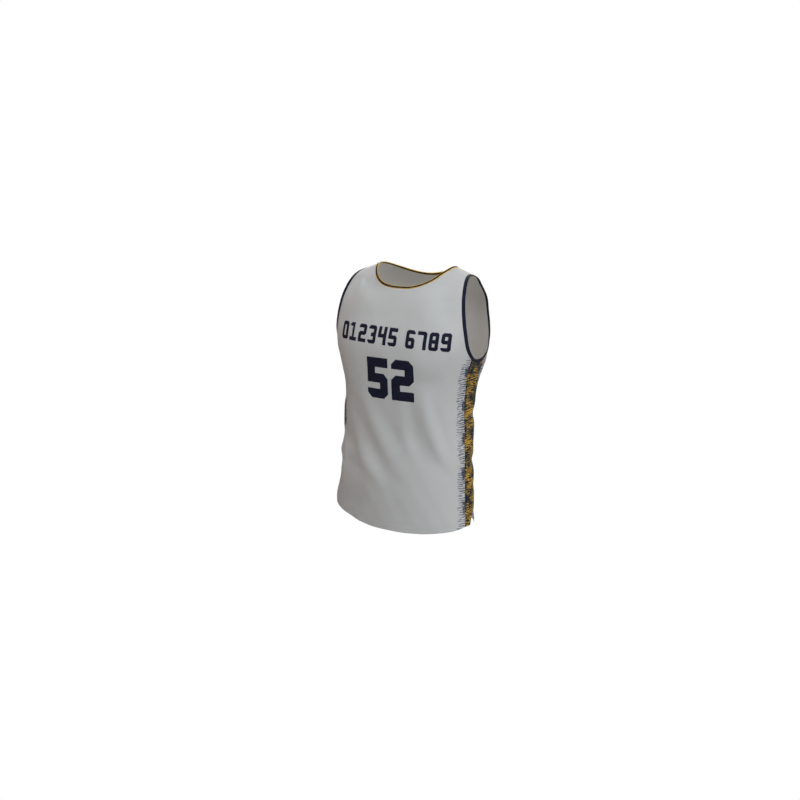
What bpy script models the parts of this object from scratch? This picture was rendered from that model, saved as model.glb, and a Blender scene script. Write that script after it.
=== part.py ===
"""Basketball jersey: sleeveless, hollow, filled out as worn and held up at the shoulders.

Frame: metres, +Z up, the front faces -Y and the wearer's left is +X.  The origin lies midway
between the two shoulder seams' neck ends, where the straps hang from a wearer or a form.
Every cloth piece is a wall laid on one body form, a stack of rounded level sections.
"""
import math

import bpy
import numpy as np

# ---- driving dimensions -------------------------------------------------------------------
CLOTH = 0.0020            # wall of a knit piece, with the hem and seam allowances it carries
BAND = 0.0026             # wall of a folded binding
SEAM_GAP = 0.00015        # each piece stops this far short of its seam line
HEM_LOW = -0.734          # lowest point of the hem, at centre front and centre back
HEM_RISE = 0.036          # how much higher the hem stands at the sides
NECK_WIDTH = 0.237        # across the open neck, between the shoulder points
NECK_FRONT_DROP = 0.053   # drop of the open neck at centre front
NECK_BACK_DROP = 0.0285   # and at centre back
NECK_BAND = 0.0085        # width of the neck binding
ARM_TOP = -0.0230         # height of the open armhole's top, on the shoulder line
ARM_BOTTOM = -0.2425      # and of its lowest point, under the arm
ARM_FRONT = 0.0820        # reach of the open armhole to the front of the shoulder line
ARM_BACK = 0.0880         # and to the back
ARM_EGG = 0.14            # how much wider its back half is below than above
ARM_BAND = 0.0090         # width of the armhole binding
ARM_FLARE = 0.0030        # how far its open edge stands off the body along the front
SIDE_FRONT = -0.028       # side panel's front seam, from the middle of the side
SIDE_BACK = 0.022         # side panel's rear seam
VENT_HEIGHT = 0.052       # open vent above the hem, at the side panel's rear seam
VENT_TAPER = 0.030        # how far the side panel narrows from the top of the vent to the hem
SIDE_FLARE = 0.45         # the side panel widens by this share under the arm
SIDE_FLARE_SPREAD = 0.065 # height over which it does

# Level sections of the body form, from above the neck down to below the hem:
#   height, half width, front depth, back depth, squareness, centre y, centre x
SECTIONS = np.array([
    (0.030, 0.064, 0.006, 0.008, 2.36, 0.000, 0.000),
    (0.012, 0.098, 0.019, 0.021, 2.37, 0.000, 0.000),
    (0.000, 0.119, 0.033, 0.035, 2.43, 0.000, 0.000),
    (-0.030, 0.191, 0.067, 0.057, 2.54, 0.000, 0.000),
    (-0.070, 0.225, 0.101, 0.088, 2.76, 0.000, 0.000),
    (-0.130, 0.232, 0.124, 0.111, 2.97, -0.003, 0.000),
    (-0.200, 0.223, 0.135, 0.122, 2.95, -0.018, 0.000),
    (-0.270, 0.210, 0.125, 0.118, 2.82, -0.030, 0.000),
    (-0.350, 0.196, 0.119, 0.106, 2.58, -0.033, -0.001),
    (-0.450, 0.199, 0.115, 0.098, 2.40, -0.037, -0.003),
    (-0.550, 0.207, 0.116, 0.100, 2.24, -0.042, -0.006),
    (-0.650, 0.2175, 0.115, 0.108, 2.12, -0.047, -0.0095),
    (-0.740, 0.2255, 0.108, 0.113, 2.08, -0.052, -0.0115),
])

# The garment hangs askew. Where it has slid round its wearer: turn and height of the middle,
# how far (degrees), how wide round (degrees) and up (metres).
SLIDES = (
    (172.0, -0.42, 6.6, 49.0, 0.085),
    (0.0, -0.56, 3.0, 45.0, 0.240),
    (-20.0, -0.279, -6.3, 14.0, 0.021),
    (-18.0, -0.335, 4.5, 14.0, 0.034),
)
# Its hem hangs uneven: turn (degrees) and rise there above the plain curve of the hem.
HANG_FROM = -0.50
HANG = np.array([
    (-180.0, 0.0050), (-90.0, 0.0000), (-52.0, 0.0050), (-34.0, 0.0030), (-18.0, -0.0080),
    (0.0, -0.0078), (22.0, -0.0093), (36.0, -0.0070), (50.0, -0.0022), (66.0, 0.0010),
    (84.0, 0.0040), (102.0, 0.0043), (122.0, 0.0108), (134.0, 0.0105), (150.0, 0.0065),
    (180.0, 0.0050),
])

# Mesh rows and columns.
ROWS_LOW = 26             # hem to armhole
ROWS_ARM = 13             # armhole bottom to shoulder
COLS_NECK_FRONT = 26
COLS_NECK_BACK = 20
COLS_STRAP = 6
COLS_SIDE = 4

# Largest folds: turn about the body (degrees, 0 at the wearer's left side, 90 at centre
# front, negative at the back) and height of the start, of the point that bends it and of the
# end; then half width and depth, above zero for a trough and below zero for a ridge.
FOLDS = (
    (126.1, -0.399, 133.1, -0.480, 88.9, -0.599, 0.0185, -0.0024),
    (118.2, -0.345, 95.5, -0.478, 78.2, -0.568, 0.0160, -0.0017),
    (77.3, -0.404, 75.7, -0.453, 66.0, -0.500, 0.0165, -0.0022),
    (60.3, -0.327, 57.6, -0.455, 33.6, -0.535, 0.0180, -0.0044),
    (55.9, -0.343, 53.8, -0.386, 39.8, -0.505, 0.0127, -0.0030),
    (121.1, -0.439, 137.2, -0.538, 113.4, -0.577, 0.0430, 0.0033),
    (119.2, -0.405, 106.2, -0.481, 79.9, -0.588, 0.0270, 0.0041),
    (127.8, -0.425, 111.4, -0.500, 99.8, -0.539, 0.0236, 0.0028),
    (91.1, -0.380, 81.6, -0.468, 76.0, -0.498, 0.0500, 0.0048),
    (71.6, -0.350, 69.9, -0.484, 49.2, -0.524, 0.0345, 0.0038),
    (134.0, -0.429, 126.0, -0.491, 118.6, -0.523, 0.0260, 0.0032),
    (160.2, -0.413, 154.0, -0.446, 137.0, -0.497, 0.0240, 0.0060),
    (130.4, -0.639, 120.7, -0.666, 109.2, -0.690, 0.0450, 0.0045),
    (60.0, -0.197, 47.8, -0.224, 39.2, -0.185, 0.0450, -0.0060),
    (73.1, -0.221, 55.6, -0.202, 38.5, -0.235, 0.0320, 0.0033),
    (65.3, -0.120, 53.5, -0.161, 41.4, -0.170, 0.0235, -0.0034),
    (54.5, -0.059, 51.5, -0.125, 54.3, -0.198, 0.0440, 0.0065),
    (126.6, -0.040, 126.0, -0.118, 136.0, -0.178, 0.0300, 0.0030),
    (123.5, -0.032, 118.4, -0.054, 125.2, -0.057, 0.0450, 0.0055),
    (116.3, -0.057, 108.6, -0.068, 97.4, -0.075, 0.0222, 0.0040),
    (55.9, -0.030, 54.0, -0.035, 47.5, -0.067, 0.0219, 0.0050),
    (180.0, -0.343, 162.0, -0.403, 170.0, -0.462, 0.0200, -0.0130),
    (165.0, -0.268, 152.0, -0.317, 161.0, -0.353, 0.0370, 0.0068),
    (163.0, -0.513, 151.0, -0.572, 164.0, -0.626, 0.0255, 0.0145),
    (6.0, -0.404, -20.0, -0.396, -44.0, -0.404, 0.0160, 0.0034),
    (4.0, -0.536, -20.0, -0.530, -42.0, -0.534, 0.0150, 0.0038),
    (-33.0, -0.232, -31.0, -0.252, -28.0, -0.272, 0.0180, -0.0030),
    (-30.0, -0.306, -27.0, -0.322, -25.0, -0.345, 0.0180, 0.0018),
    (-72.0, -0.390, -66.0, -0.500, -50.0, -0.590, 0.025, 0.0055),
    (-92.0, -0.420, -91.0, -0.520, -82.0, -0.620, 0.024, 0.0045),
    (-110.0, -0.380, -116.0, -0.480, -130.0, -0.570, 0.025, 0.0055),
    (-82.0, -0.410, -78.0, -0.520, -66.0, -0.610, 0.020, -0.0034),
    (-102.0, -0.440, -104.0, -0.520, -112.0, -0.600, 0.019, -0.0030),
)


# ---- smooth curves ------------------------------------------------------------------------
def spline(knots, values):
    """Natural cubic spline through (knots, values); returns a function."""
    order = np.argsort(knots)
    x = np.asarray(knots, float)[order]
    y = np.asarray(values, float)[order]
    n = len(x)
    h = np.diff(x)
    matrix = np.eye(n)
    right = np.zeros(n)
    for i in range(1, n - 1):
        matrix[i, i - 1:i + 2] = h[i - 1], 2.0 * (h[i - 1] + h[i]), h[i]
        right[i] = 6.0 * ((y[i + 1] - y[i]) / h[i] - (y[i] - y[i - 1]) / h[i - 1])
    m = np.linalg.solve(matrix, right)

    def value(at):
        at = np.clip(np.asarray(at, float), x[0], x[-1])
        i = np.clip(np.searchsorted(x, at) - 1, 0, n - 2)
        lo = at - x[i]
        hi = x[i + 1] - at
        cubic = (m[i] * hi ** 3 + m[i + 1] * lo ** 3) / (6.0 * h[i])
        return (cubic + (y[i] / h[i] - m[i] * h[i] / 6.0) * hi
                + (y[i + 1] / h[i] - m[i + 1] * h[i] / 6.0) * lo)

    return value


HALF_WIDTH, FRONT_DEPTH, BACK_DEPTH, SQUARE, CENTRE_Y, CENTRE_X = (
    spline(SECTIONS[:, 0], SECTIONS[:, k]) for k in range(1, 7))
HEM_SHIFT = spline(HANG[:, 0], HANG[:, 1])


def form(turn, z):
    """Point of the body form at a turn (radians, 0 at +X, positive to the front) and height."""
    c = np.cos(turn)
    s = np.sin(turn)
    n = SQUARE(z)
    reach = (np.abs(c) ** n + np.abs(s) ** n) ** (-1.0 / n)
    depth = np.where(s >= 0.0, FRONT_DEPTH(z), BACK_DEPTH(z))
    x = CENTRE_X(z) + HALF_WIDTH(z) * reach * c
    y = CENTRE_Y(z) - depth * reach * s
    return np.stack([x, y, z + 0.0 * x], axis=-1)


def turn_of(point):
    """Turn and height of a point on, or close to, the form."""
    z = point[..., 2]
    across = (point[..., 0] - CENTRE_X(z)) / HALF_WIDTH(z)
    out = CENTRE_Y(z) - point[..., 1]
    depth = np.where(out >= 0.0, FRONT_DEPTH(z), BACK_DEPTH(z))
    return np.arctan2(out / depth, across), z


def hung(turn, z):
    """Turn and height at which a place on the plain cut hangs."""
    slid = 0.0
    for middle, level, amount, wide, high in SLIDES:
        beside = turn - math.radians(middle)
        beside = np.degrees(np.arctan2(np.sin(beside), np.cos(beside)))
        slid = slid + amount * np.exp(-(beside / wide) ** 2 - ((z - level) / high) ** 2)
    facing = np.degrees(np.arctan2(np.sin(turn), np.cos(turn)))
    share = np.clip((HANG_FROM - z) / (HANG_FROM - HEM_LOW), 0.0, 1.1)
    return turn - np.radians(slid), z + share ** 2 * HEM_SHIFT(facing)


def slopes(turn, z, step=1e-5):
    """The form's two derivatives."""
    by_turn = (form(turn + step, z) - form(turn - step, z)) / (2.0 * step)
    by_z = (form(turn, z + step) - form(turn, z - step)) / (2.0 * step)
    return by_turn, by_z


def unit(v):
    return v / np.linalg.norm(v, axis=-1, keepdims=True)


def outward(turn, z):
    by_turn, by_z = slopes(turn, z)
    return unit(np.cross(by_z, by_turn))


# ---- folds --------------------------------------------------------------------------------
def fold_offset(points):
    """How far the cloth stands out from the form at each point, from the fold table."""
    total = np.zeros(points.shape[:-1])
    t = np.linspace(0.0, 1.0, 13)[:, None]
    for a0, z0, a1, z1, a2, z2, width, depth in FOLDS:
        knots = np.array([(math.radians(a0), z0), (math.radians(a1), z1), (math.radians(a2), z2)])
        axis = (1 - t) ** 2 * knots[0] + 2 * t * (1 - t) * knots[1] + t ** 2 * knots[2]
        line = form(axis[:, 0], axis[:, 1])
        best = np.full(points.shape[:-1], 1e9)
        along = np.zeros(points.shape[:-1])
        for k in range(len(line) - 1):
            step = line[k + 1] - line[k]
            f = np.clip(((points - line[k]) @ step) / (step @ step), 0.0, 1.0)
            gap = np.linalg.norm(points - line[k] - f[..., None] * step, axis=-1)
            closer = gap < best
            best = np.where(closer, gap, best)
            along = np.where(closer, (k + f) / (len(line) - 1), along)
        across = best / width
        taper = np.sin(np.pi * np.clip(0.12 + 0.76 * along, 0.0, 1.0))
        total -= depth * taper * (np.exp(-across ** 2) - 0.30 * np.exp(-(across - 1.9) ** 2))
    return total


def on_cloth(turn, z):
    """Outer face of the cloth and its outward direction."""
    turn, z = hung(turn, z)
    base = form(turn, z)
    away = outward(turn, z)
    return base + away * fold_offset(base)[..., None], away


# ---- outlines of the openings and seams ---------------------------------------------------
def hem_height(turn):
    across = np.abs(np.cos(turn))
    return HEM_LOW + HEM_RISE * across ** 2.5


def seam_turn(z, offset):
    """Turn at which the side of the body (wearer's left) stands `offset` behind its middle."""
    depth = np.where(offset < 0.0, FRONT_DEPTH(z), BACK_DEPTH(z))
    rise = np.abs(offset) / depth
    n = SQUARE(z)
    across = (1.0 - rise ** n) ** (1.0 / n)
    return -np.sign(offset) * np.arctan2(rise, across)


def flared(z):
    """Width of the side panel as a share of its width at the waist."""
    return 1.0 + SIDE_FLARE * np.exp(-((z + 0.26) / SIDE_FLARE_SPREAD) ** 2)


def side_seam(z, offset):
    """Turn of a side seam, or of a line beside it, given by its offset at the waist."""
    return seam_turn(z, offset * flared(z))


def neck_edge(share, front):
    """Open neck from the wearer's left shoulder point (share 0) to the middle (share 1)."""
    drop = NECK_FRONT_DROP if front else NECK_BACK_DROP
    power = 2.74 if front else 1.75
    sign = 1.0 if front else -1.0
    fine = np.sin(np.linspace(0.0, math.pi / 2.0, 400)) ** 2
    x = NECK_WIDTH / 2.0 * (1.0 - fine)
    z = -drop * (1.0 - (2.0 * x / NECK_WIDTH) ** power)
    n = SQUARE(z)
    across = np.clip(x / HALF_WIDTH(z), 0.0, 1.0)
    turn = sign * np.arctan2((1.0 - across ** n) ** (1.0 / n), across)
    line = form(turn, z)
    run = np.r_[0.0, np.cumsum(np.linalg.norm(np.diff(line, axis=0), axis=1))]
    at = np.asarray(share) * run[-1]
    return np.interp(at, run, turn), np.interp(at, run, z)


def arm_edge(t):
    """Open armhole; t is 0 at the shoulder, rises down the front and is pi under the arm."""
    middle = (ARM_TOP + ARM_BOTTOM) / 2.0
    half = (ARM_TOP - ARM_BOTTOM) / 2.0
    z = middle + half * np.cos(t)
    reach = np.where(np.sin(t) >= 0.0, -ARM_FRONT, -ARM_BACK * (1.0 - ARM_EGG * np.cos(t)))
    return seam_turn(z, reach * np.sin(t) + 1e-9), z


def stepped(turn, z, distance):
    """Moves a closed outline sideways over the form, to the right of the way it runs."""
    line = form(turn, z)
    tangent = unit(np.roll(line, -1, axis=0) - np.roll(line, 1, axis=0))
    side = np.cross(tangent, outward(turn, z))
    return turn_of(line + distance * unit(side))


def neck_outline(distance):
    """Closed neck outline, `distance` outside the open edge: turn, height, front count."""
    front = neck_edge(np.linspace(0.0, 1.0, COLS_NECK_FRONT // 2 + 1), True)
    back = neck_edge(np.linspace(0.0, 1.0, COLS_NECK_BACK // 2 + 1), False)
    turn = np.r_[front[0], math.pi - front[0][-2::-1], -math.pi - back[0][1:], back[0][-2:0:-1]]
    z = np.r_[front[1], front[1][-2::-1], back[1][1:], back[1][-2:0:-1]]
    if distance == 0.0:
        return turn, z
    return stepped(turn, z, -distance)


def corner_t(offset, distance):
    """Armhole station at which the stepped outline crosses a side seam."""
    t = np.linspace(0.6 * math.pi, 1.4 * math.pi, 801)
    turn, z = stepped(*arm_edge(t), distance)
    behind = (form(turn, z)[:, 1] - CENTRE_Y(z)) / flared(z)
    return float(np.interp(offset, behind[5:-5], t[5:-5]))


def arm_stations():
    """Shared stations round the armhole: front from the shoulder down, under the arm, back."""
    first = corner_t(SIDE_FRONT, ARM_BAND)
    last = corner_t(SIDE_BACK, ARM_BAND)
    front = np.linspace(0.0, first, ROWS_ARM + 1)
    under = np.linspace(first, last, COLS_SIDE + 1)
    back = np.linspace(last, 2.0 * math.pi, ROWS_ARM + 1)
    return np.r_[front, under[1:], back[1:-1]]


def arm_outline(distance):
    turn, z = arm_edge(arm_stations())
    if distance == 0.0:
        return turn, z
    return stepped(turn, z, distance)


# ---- grids --------------------------------------------------------------------------------
def relax(turn, z, rounds=220):
    """Evens out a grid on the form with its border held."""
    for _ in range(rounds):
        points = form(turn, z)
        middle = 0.25 * (points[2:, 1:-1] + points[:-2, 1:-1] + points[1:-1, 2:] + points[1:-1, :-2])
        move = middle - points[1:-1, 1:-1]
        by_turn, by_z = slopes(turn[1:-1, 1:-1], z[1:-1, 1:-1])
        a = np.sum(by_turn * by_turn, axis=-1)
        b = np.sum(by_turn * by_z, axis=-1)
        c = np.sum(by_z * by_z, axis=-1)
        p = np.sum(move * by_turn, axis=-1)
        q = np.sum(move * by_z, axis=-1)
        det = a * c - b * b
        turn[1:-1, 1:-1] += 0.9 * (c * p - b * q) / det
        z[1:-1, 1:-1] += 0.9 * (a * q - b * p) / det
    return turn, z


def spread(first, last, count, crowd):
    """Evenly spaced values, crowded to the middle by `crowd`."""
    t = np.linspace(-1.0, 1.0, count)
    t = (1.0 - crowd) * t + crowd * t ** 3
    return first + (last - first) * (t + 1.0) / 2.0


def body_grid(front):
    """Grid of the front or back panel; columns run the way the turn falls, rows run up."""
    sign = 1.0 if front else -1.0
    seam = (SIDE_FRONT if front else SIDE_BACK) - sign * SEAM_GAP
    neck_cols = COLS_NECK_FRONT if front else COLS_NECK_BACK
    rows = ROWS_LOW + ROWS_ARM
    cols = neck_cols + 2 * COLS_STRAP
    # the edge on the wearer's left: side seam, then armhole seam up to the shoulder
    arm_turn, arm_z = arm_outline(ARM_BAND + SEAM_GAP)
    if front:
        arm_turn = arm_turn[ROWS_ARM::-1]
        arm_z = arm_z[ROWS_ARM::-1]
    else:
        arm_turn = np.r_[arm_turn[ROWS_ARM + COLS_SIDE:], arm_turn[0]]
        arm_z = np.r_[arm_z[ROWS_ARM + COLS_SIDE:], arm_z[0]]
    arm_turn = arm_turn.copy()
    arm_turn[-1] = seam_turn(arm_z[-1], -sign * SEAM_GAP)
    low_z = np.linspace(hem_height(side_seam(HEM_LOW, seam)), arm_z[0], ROWS_LOW + 1)
    arm_turn[0] = side_seam(arm_z[0], seam)
    edge_turn = np.r_[side_seam(low_z, seam)[:-1], arm_turn]
    edge_z = np.r_[low_z[:-1], arm_z]
    # the top: shoulder seam, neck, shoulder seam, from the wearer's left
    neck_turn, neck_z = neck_outline(NECK_BAND + SEAM_GAP)
    half = COLS_NECK_FRONT // 2
    if front:
        neck_turn = neck_turn[:half + 1]
        neck_z = neck_z[:half + 1]
    else:
        neck_turn = np.r_[neck_turn[0], neck_turn[:-COLS_NECK_BACK // 2 - 1:-1]]
        neck_z = np.r_[neck_z[0], neck_z[:-COLS_NECK_BACK // 2 - 1:-1]]
    neck_turn = neck_turn.copy()
    neck_turn[0] = seam_turn(neck_z[0], -sign * SEAM_GAP)
    neck_turn[-1] = sign * math.pi / 2.0
    strap_z = np.linspace(edge_z[-1], neck_z[0], COLS_STRAP + 1)
    half_turn = np.r_[seam_turn(strap_z, -sign * SEAM_GAP)[:-1], neck_turn]
    half_z = np.r_[strap_z[:-1], neck_z]
    top_turn = np.r_[half_turn, sign * math.pi - half_turn[-2::-1]]
    top_z = np.r_[half_z, half_z[-2::-1]]
    # the hem
    hem_turn = spread(edge_turn[0], sign * math.pi - edge_turn[0], cols + 1, 0.26)
    turn = np.zeros((rows + 1, cols + 1))
    z = np.zeros((rows + 1, cols + 1))
    for j in range(rows + 1):
        v = j / rows
        inner = (1.0 - v ** 3) * hem_turn + v ** 3 * top_turn
        span = sign * math.pi / 2.0
        share = (inner - span) / (inner[0] - span)
        turn[j] = span + (edge_turn[j] - span) * share
        level = (1.0 - v) * hem_height(hem_turn) + v * top_z
        z[j] = level + edge_z[j] - level[0]
    turn[-1] = top_turn
    z[-1] = top_z
    z[0] = hem_height(hem_turn)
    turn, z = relax(turn, z)
    if front:
        return turn[:, ::-1], z[:, ::-1]
    return turn, z


def side_grid():
    """Grid of the side panel on the wearer's left; its rear edge draws in below the vent top."""
    under = slice(ROWS_ARM, ROWS_ARM + COLS_SIDE + 1)
    top_turn, top_z = arm_outline(ARM_BAND + SEAM_GAP)
    top_turn = top_turn[under]
    top_z = top_z[under]
    turn = np.zeros((ROWS_LOW + 1, COLS_SIDE + 1))
    z = np.zeros((ROWS_LOW + 1, COLS_SIDE + 1))
    hem_z = hem_height(side_seam(HEM_LOW, SIDE_FRONT))
    for j in range(ROWS_LOW + 1):
        v = j / ROWS_LOW
        z[j] = hem_z + (top_z - hem_z) * v
        below = np.clip((hem_z + VENT_HEIGHT - z[j, -1]) / VENT_HEIGHT, 0.0, 1.0)
        rear = SIDE_BACK - SEAM_GAP - VENT_TAPER * below
        offsets = np.linspace(SIDE_FRONT + SEAM_GAP, rear, COLS_SIDE + 1)
        turn[j] = side_seam(z[j], offsets + 1e-9)
    inner = slice(1, COLS_SIDE)
    turn[-1, inner] = top_turn[inner]
    return turn, z


# ---- solids -------------------------------------------------------------------------------
def add_object(name, vertices, faces, material):
    mesh = bpy.data.meshes.new(name)
    mesh.from_pydata([tuple(map(float, v)) for v in vertices], [], faces)
    mesh.update()
    obj = bpy.data.objects.new(name, mesh)
    bpy.context.scene.collection.objects.link(obj)
    mesh.materials.append(material)
    mesh.polygons.foreach_set("use_smooth", [True] * len(mesh.polygons))
    return obj


def wall(name, turn, z, thickness, material):
    """A closed wall on a grid of the form, its outer face on the cloth."""
    outer, away = on_cloth(turn, z)
    inner = outer - thickness * away
    rows, cols = turn.shape
    vertices = np.concatenate([outer.reshape(-1, 3), inner.reshape(-1, 3)])
    back = rows * cols
    stand = fold_offset(form(*hung(turn, z))).reshape(-1)
    faces = []
    for j in range(rows - 1):
        for i in range(cols - 1):
            a = j * cols + i
            ring = (a, a + 1, a + cols + 1, a + cols)
            # each cell is split along the fold that crosses it
            rising = abs(stand[ring[0]] - stand[ring[2]]) <= abs(stand[ring[1]] - stand[ring[3]])
            corners = ring if rising else ring[1:] + ring[:1]
            for k in (0, 2):
                face = (corners[k], corners[k + 1], corners[(k + 2) % 4])
                faces.append(face)
                faces.append(tuple(back + v for v in reversed(face)))
    border = [i for i in range(cols)]
    border += [j * cols + cols - 1 for j in range(1, rows)]
    border += [(rows - 1) * cols + i for i in range(cols - 2, -1, -1)]
    border += [j * cols for j in range(rows - 2, 0, -1)]
    for k, a in enumerate(border):
        b = border[(k + 1) % len(border)]
        faces.append((b, a, back + a, back + b))
    return add_object(name, vertices, faces, material)


# Section of a folded binding: share of its width from the seam, share of its thickness.
BAND_SECTION = ((0.00, 0.30), (0.12, 0.50), (0.50, 0.56), (0.88, 0.50), (1.00, 0.22),
                (1.00, -0.22), (0.88, -0.50), (0.12, -0.50), (0.00, -0.30))


def arm_flare():
    """How far the open edge of the armhole binding stands off at each station."""
    return ARM_FLARE * np.clip(np.sin(arm_stations()), 0.0, 1.0)


def band(name, outline, width, material, flare=0.0, other_side=False, clockwise=False):
    """A binding round an opening; `outline` gives the closed line at a distance outside it."""
    rings = []
    for share, height in BAND_SECTION:
        distance = (width - SEAM_GAP) * (1.0 - share)
        turn, z = outline(distance)
        if other_side:
            turn = math.pi - turn
        face, away = on_cloth(turn, z)
        lift = np.asarray(height * BAND - CLOTH / 2.0 + share * flare)
        rings.append(face + away * lift[..., None])
    count = len(rings)
    length = len(rings[0])
    vertices = np.concatenate(rings)
    faces = []
    for k in range(count):
        for i in range(length):
            a = k * length + i
            b = k * length + (i + 1) % length
            c = ((k + 1) % count) * length + (i + 1) % length
            d = ((k + 1) % count) * length + i
            faces.append((a, b, c, d) if clockwise else (a, d, c, b))
    return add_object(name, vertices, faces, material)


def make_material(name, colour, roughness):
    material = bpy.data.materials.new(name)
    material.use_nodes = True
    shader = material.node_tree.nodes["Principled BSDF"]
    shader.inputs["Base Color"].default_value = (*colour, 1.0)
    shader.inputs["Roughness"].default_value = roughness
    shader.inputs["Metallic"].default_value = 0.0
    return material


def build():
    for old in list(bpy.data.objects):
        bpy.data.objects.remove(old, do_unlink=True)
    body = make_material("jersey_knit", (0.72, 0.73, 0.73), 0.85)
    side = make_material("side_knit", (0.09, 0.07, 0.04), 0.85)
    neck = make_material("neck_band", (0.10, 0.08, 0.05), 0.80)
    arm = make_material("armhole_band", (0.012, 0.014, 0.028), 0.80)
    wall("front_panel", *body_grid(True), CLOTH, body)
    wall("back_panel", *body_grid(False), CLOTH, body)
    turn, z = side_grid()
    wall("side_panel_left", turn, z, CLOTH, side)
    wall("side_panel_right", (math.pi - turn)[:, ::-1], z[:, ::-1], CLOTH, side)
    band("neck_binding", neck_outline, NECK_BAND, neck)
    flare = arm_flare()
    band("armhole_binding_left", arm_outline, ARM_BAND, arm, flare, clockwise=True)
    band("armhole_binding_right", arm_outline, ARM_BAND, arm, flare, other_side=True)


build()
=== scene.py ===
"""Looks of a sleeveless basketball jersey: knit panels, bindings, prints and stitches.

Metres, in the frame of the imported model: +Z up, the front faces -Y and the wearer's left is
+X.  Each cloth piece is a thin shell on the body form that its solid also stands on, cut by
the same seams, with the same large folds and with smaller ones of its own.
"""
import math

import bmesh
import bpy
import numpy as np
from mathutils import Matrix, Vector


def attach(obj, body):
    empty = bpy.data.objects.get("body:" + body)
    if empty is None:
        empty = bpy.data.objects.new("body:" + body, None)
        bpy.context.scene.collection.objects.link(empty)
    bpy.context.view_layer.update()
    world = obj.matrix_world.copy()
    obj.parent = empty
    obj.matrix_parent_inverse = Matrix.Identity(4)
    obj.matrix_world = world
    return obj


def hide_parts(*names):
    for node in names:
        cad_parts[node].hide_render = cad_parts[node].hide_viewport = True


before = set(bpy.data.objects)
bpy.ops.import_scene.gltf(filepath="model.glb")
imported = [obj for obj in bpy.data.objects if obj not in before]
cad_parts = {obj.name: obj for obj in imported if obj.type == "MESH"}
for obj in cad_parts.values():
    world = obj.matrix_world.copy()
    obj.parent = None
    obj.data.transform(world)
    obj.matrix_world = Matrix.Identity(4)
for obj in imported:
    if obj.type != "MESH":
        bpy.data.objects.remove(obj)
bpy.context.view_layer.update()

# ---- sizes of the cut, as the solids have them --------------------------------------------
HEM_LOW = -0.734          # hem under the middle of the front and of the back
HEM_RISE = 0.036          # and how much higher it is at the sides
NECK_WIDTH = 0.237        # open neck between the shoulder points
NECK_FRONT_DROP = 0.053
NECK_BACK_DROP = 0.0285
NECK_BAND = 0.0085        # width of the neck binding
ARM_TOP = -0.0230         # open armhole
ARM_BOTTOM = -0.2425
ARM_FRONT = 0.0820        # how far it reaches in front of the body's middle, and behind it
ARM_BACK = 0.0880
ARM_EGG = 0.14            # its back is fuller low down by this share
ARM_BAND = 0.0090         # width of the armhole binding
ARM_FLARE = 0.0030        # how far the binding's open edge stands off in front
SIDE_FRONT = -0.028       # side seams, in front of the body's middle and behind it
SIDE_BACK = 0.022
VENT_HEIGHT = 0.052       # vent between the side panel and the back at the hem
VENT_TAPER = 0.030        # how far the side panel's edge slopes away beside it
SIDE_FLARE = 0.45         # the side panel widens by this share under the arm
SIDE_FLARE_AT = -0.26
SIDE_FLARE_SPREAD = 0.065
SIDE_TOP = -0.252         # where the side seams end under the arm
NECK_FRONT_CURVE = 2.74   # powers of the neckline's curve: the higher, the squarer
NECK_BACK_CURVE = 1.75
HEM_CURVE = 2.5

# Level sections of the body form:
#   height, half width, front depth, back depth, squareness, centre y, centre x
SECTIONS = np.array([
    (0.030, 0.064, 0.006, 0.008, 2.36, 0.000, 0.000),
    (0.012, 0.098, 0.019, 0.021, 2.37, 0.000, 0.000),
    (0.000, 0.119, 0.033, 0.035, 2.43, 0.000, 0.000),
    (-0.030, 0.191, 0.067, 0.057, 2.54, 0.000, 0.000),
    (-0.070, 0.225, 0.101, 0.088, 2.76, 0.000, 0.000),
    (-0.130, 0.232, 0.124, 0.111, 2.97, -0.003, 0.000),
    (-0.200, 0.223, 0.135, 0.122, 2.95, -0.018, 0.000),
    (-0.270, 0.210, 0.125, 0.118, 2.82, -0.030, 0.000),
    (-0.350, 0.196, 0.119, 0.106, 2.58, -0.033, -0.001),
    (-0.450, 0.199, 0.115, 0.098, 2.40, -0.037, -0.003),
    (-0.550, 0.207, 0.116, 0.100, 2.24, -0.042, -0.006),
    (-0.650, 0.2175, 0.115, 0.108, 2.12, -0.047, -0.0095),
    (-0.740, 0.2255, 0.108, 0.113, 2.08, -0.052, -0.0115),
])

# The garment hangs askew. Where it has slid round its wearer: turn and height of the middle,
# how far (degrees), how wide round (degrees) and up (metres).
SLIDES = (
    (172.0, -0.42, 6.6, 49.0, 0.085),
    (0.0, -0.56, 3.0, 45.0, 0.240),
    (-20.0, -0.279, -6.3, 14.0, 0.021),
    (-18.0, -0.335, 4.5, 14.0, 0.034),
)
# Its hem hangs uneven: turn (degrees) and rise there above the plain curve of the hem.
HANG_FROM = -0.50         # above this height nothing has risen or sunk
HANG = np.array([
    (-180.0, 0.0050), (-90.0, 0.0000), (-52.0, 0.0050), (-34.0, 0.0030), (-18.0, -0.0080),
    (0.0, -0.0078), (22.0, -0.0093), (36.0, -0.0070), (50.0, -0.0022), (66.0, 0.0010),
    (84.0, 0.0040), (102.0, 0.0043), (122.0, 0.0108), (134.0, 0.0105), (150.0, 0.0065),
    (180.0, 0.0050),
])

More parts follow.
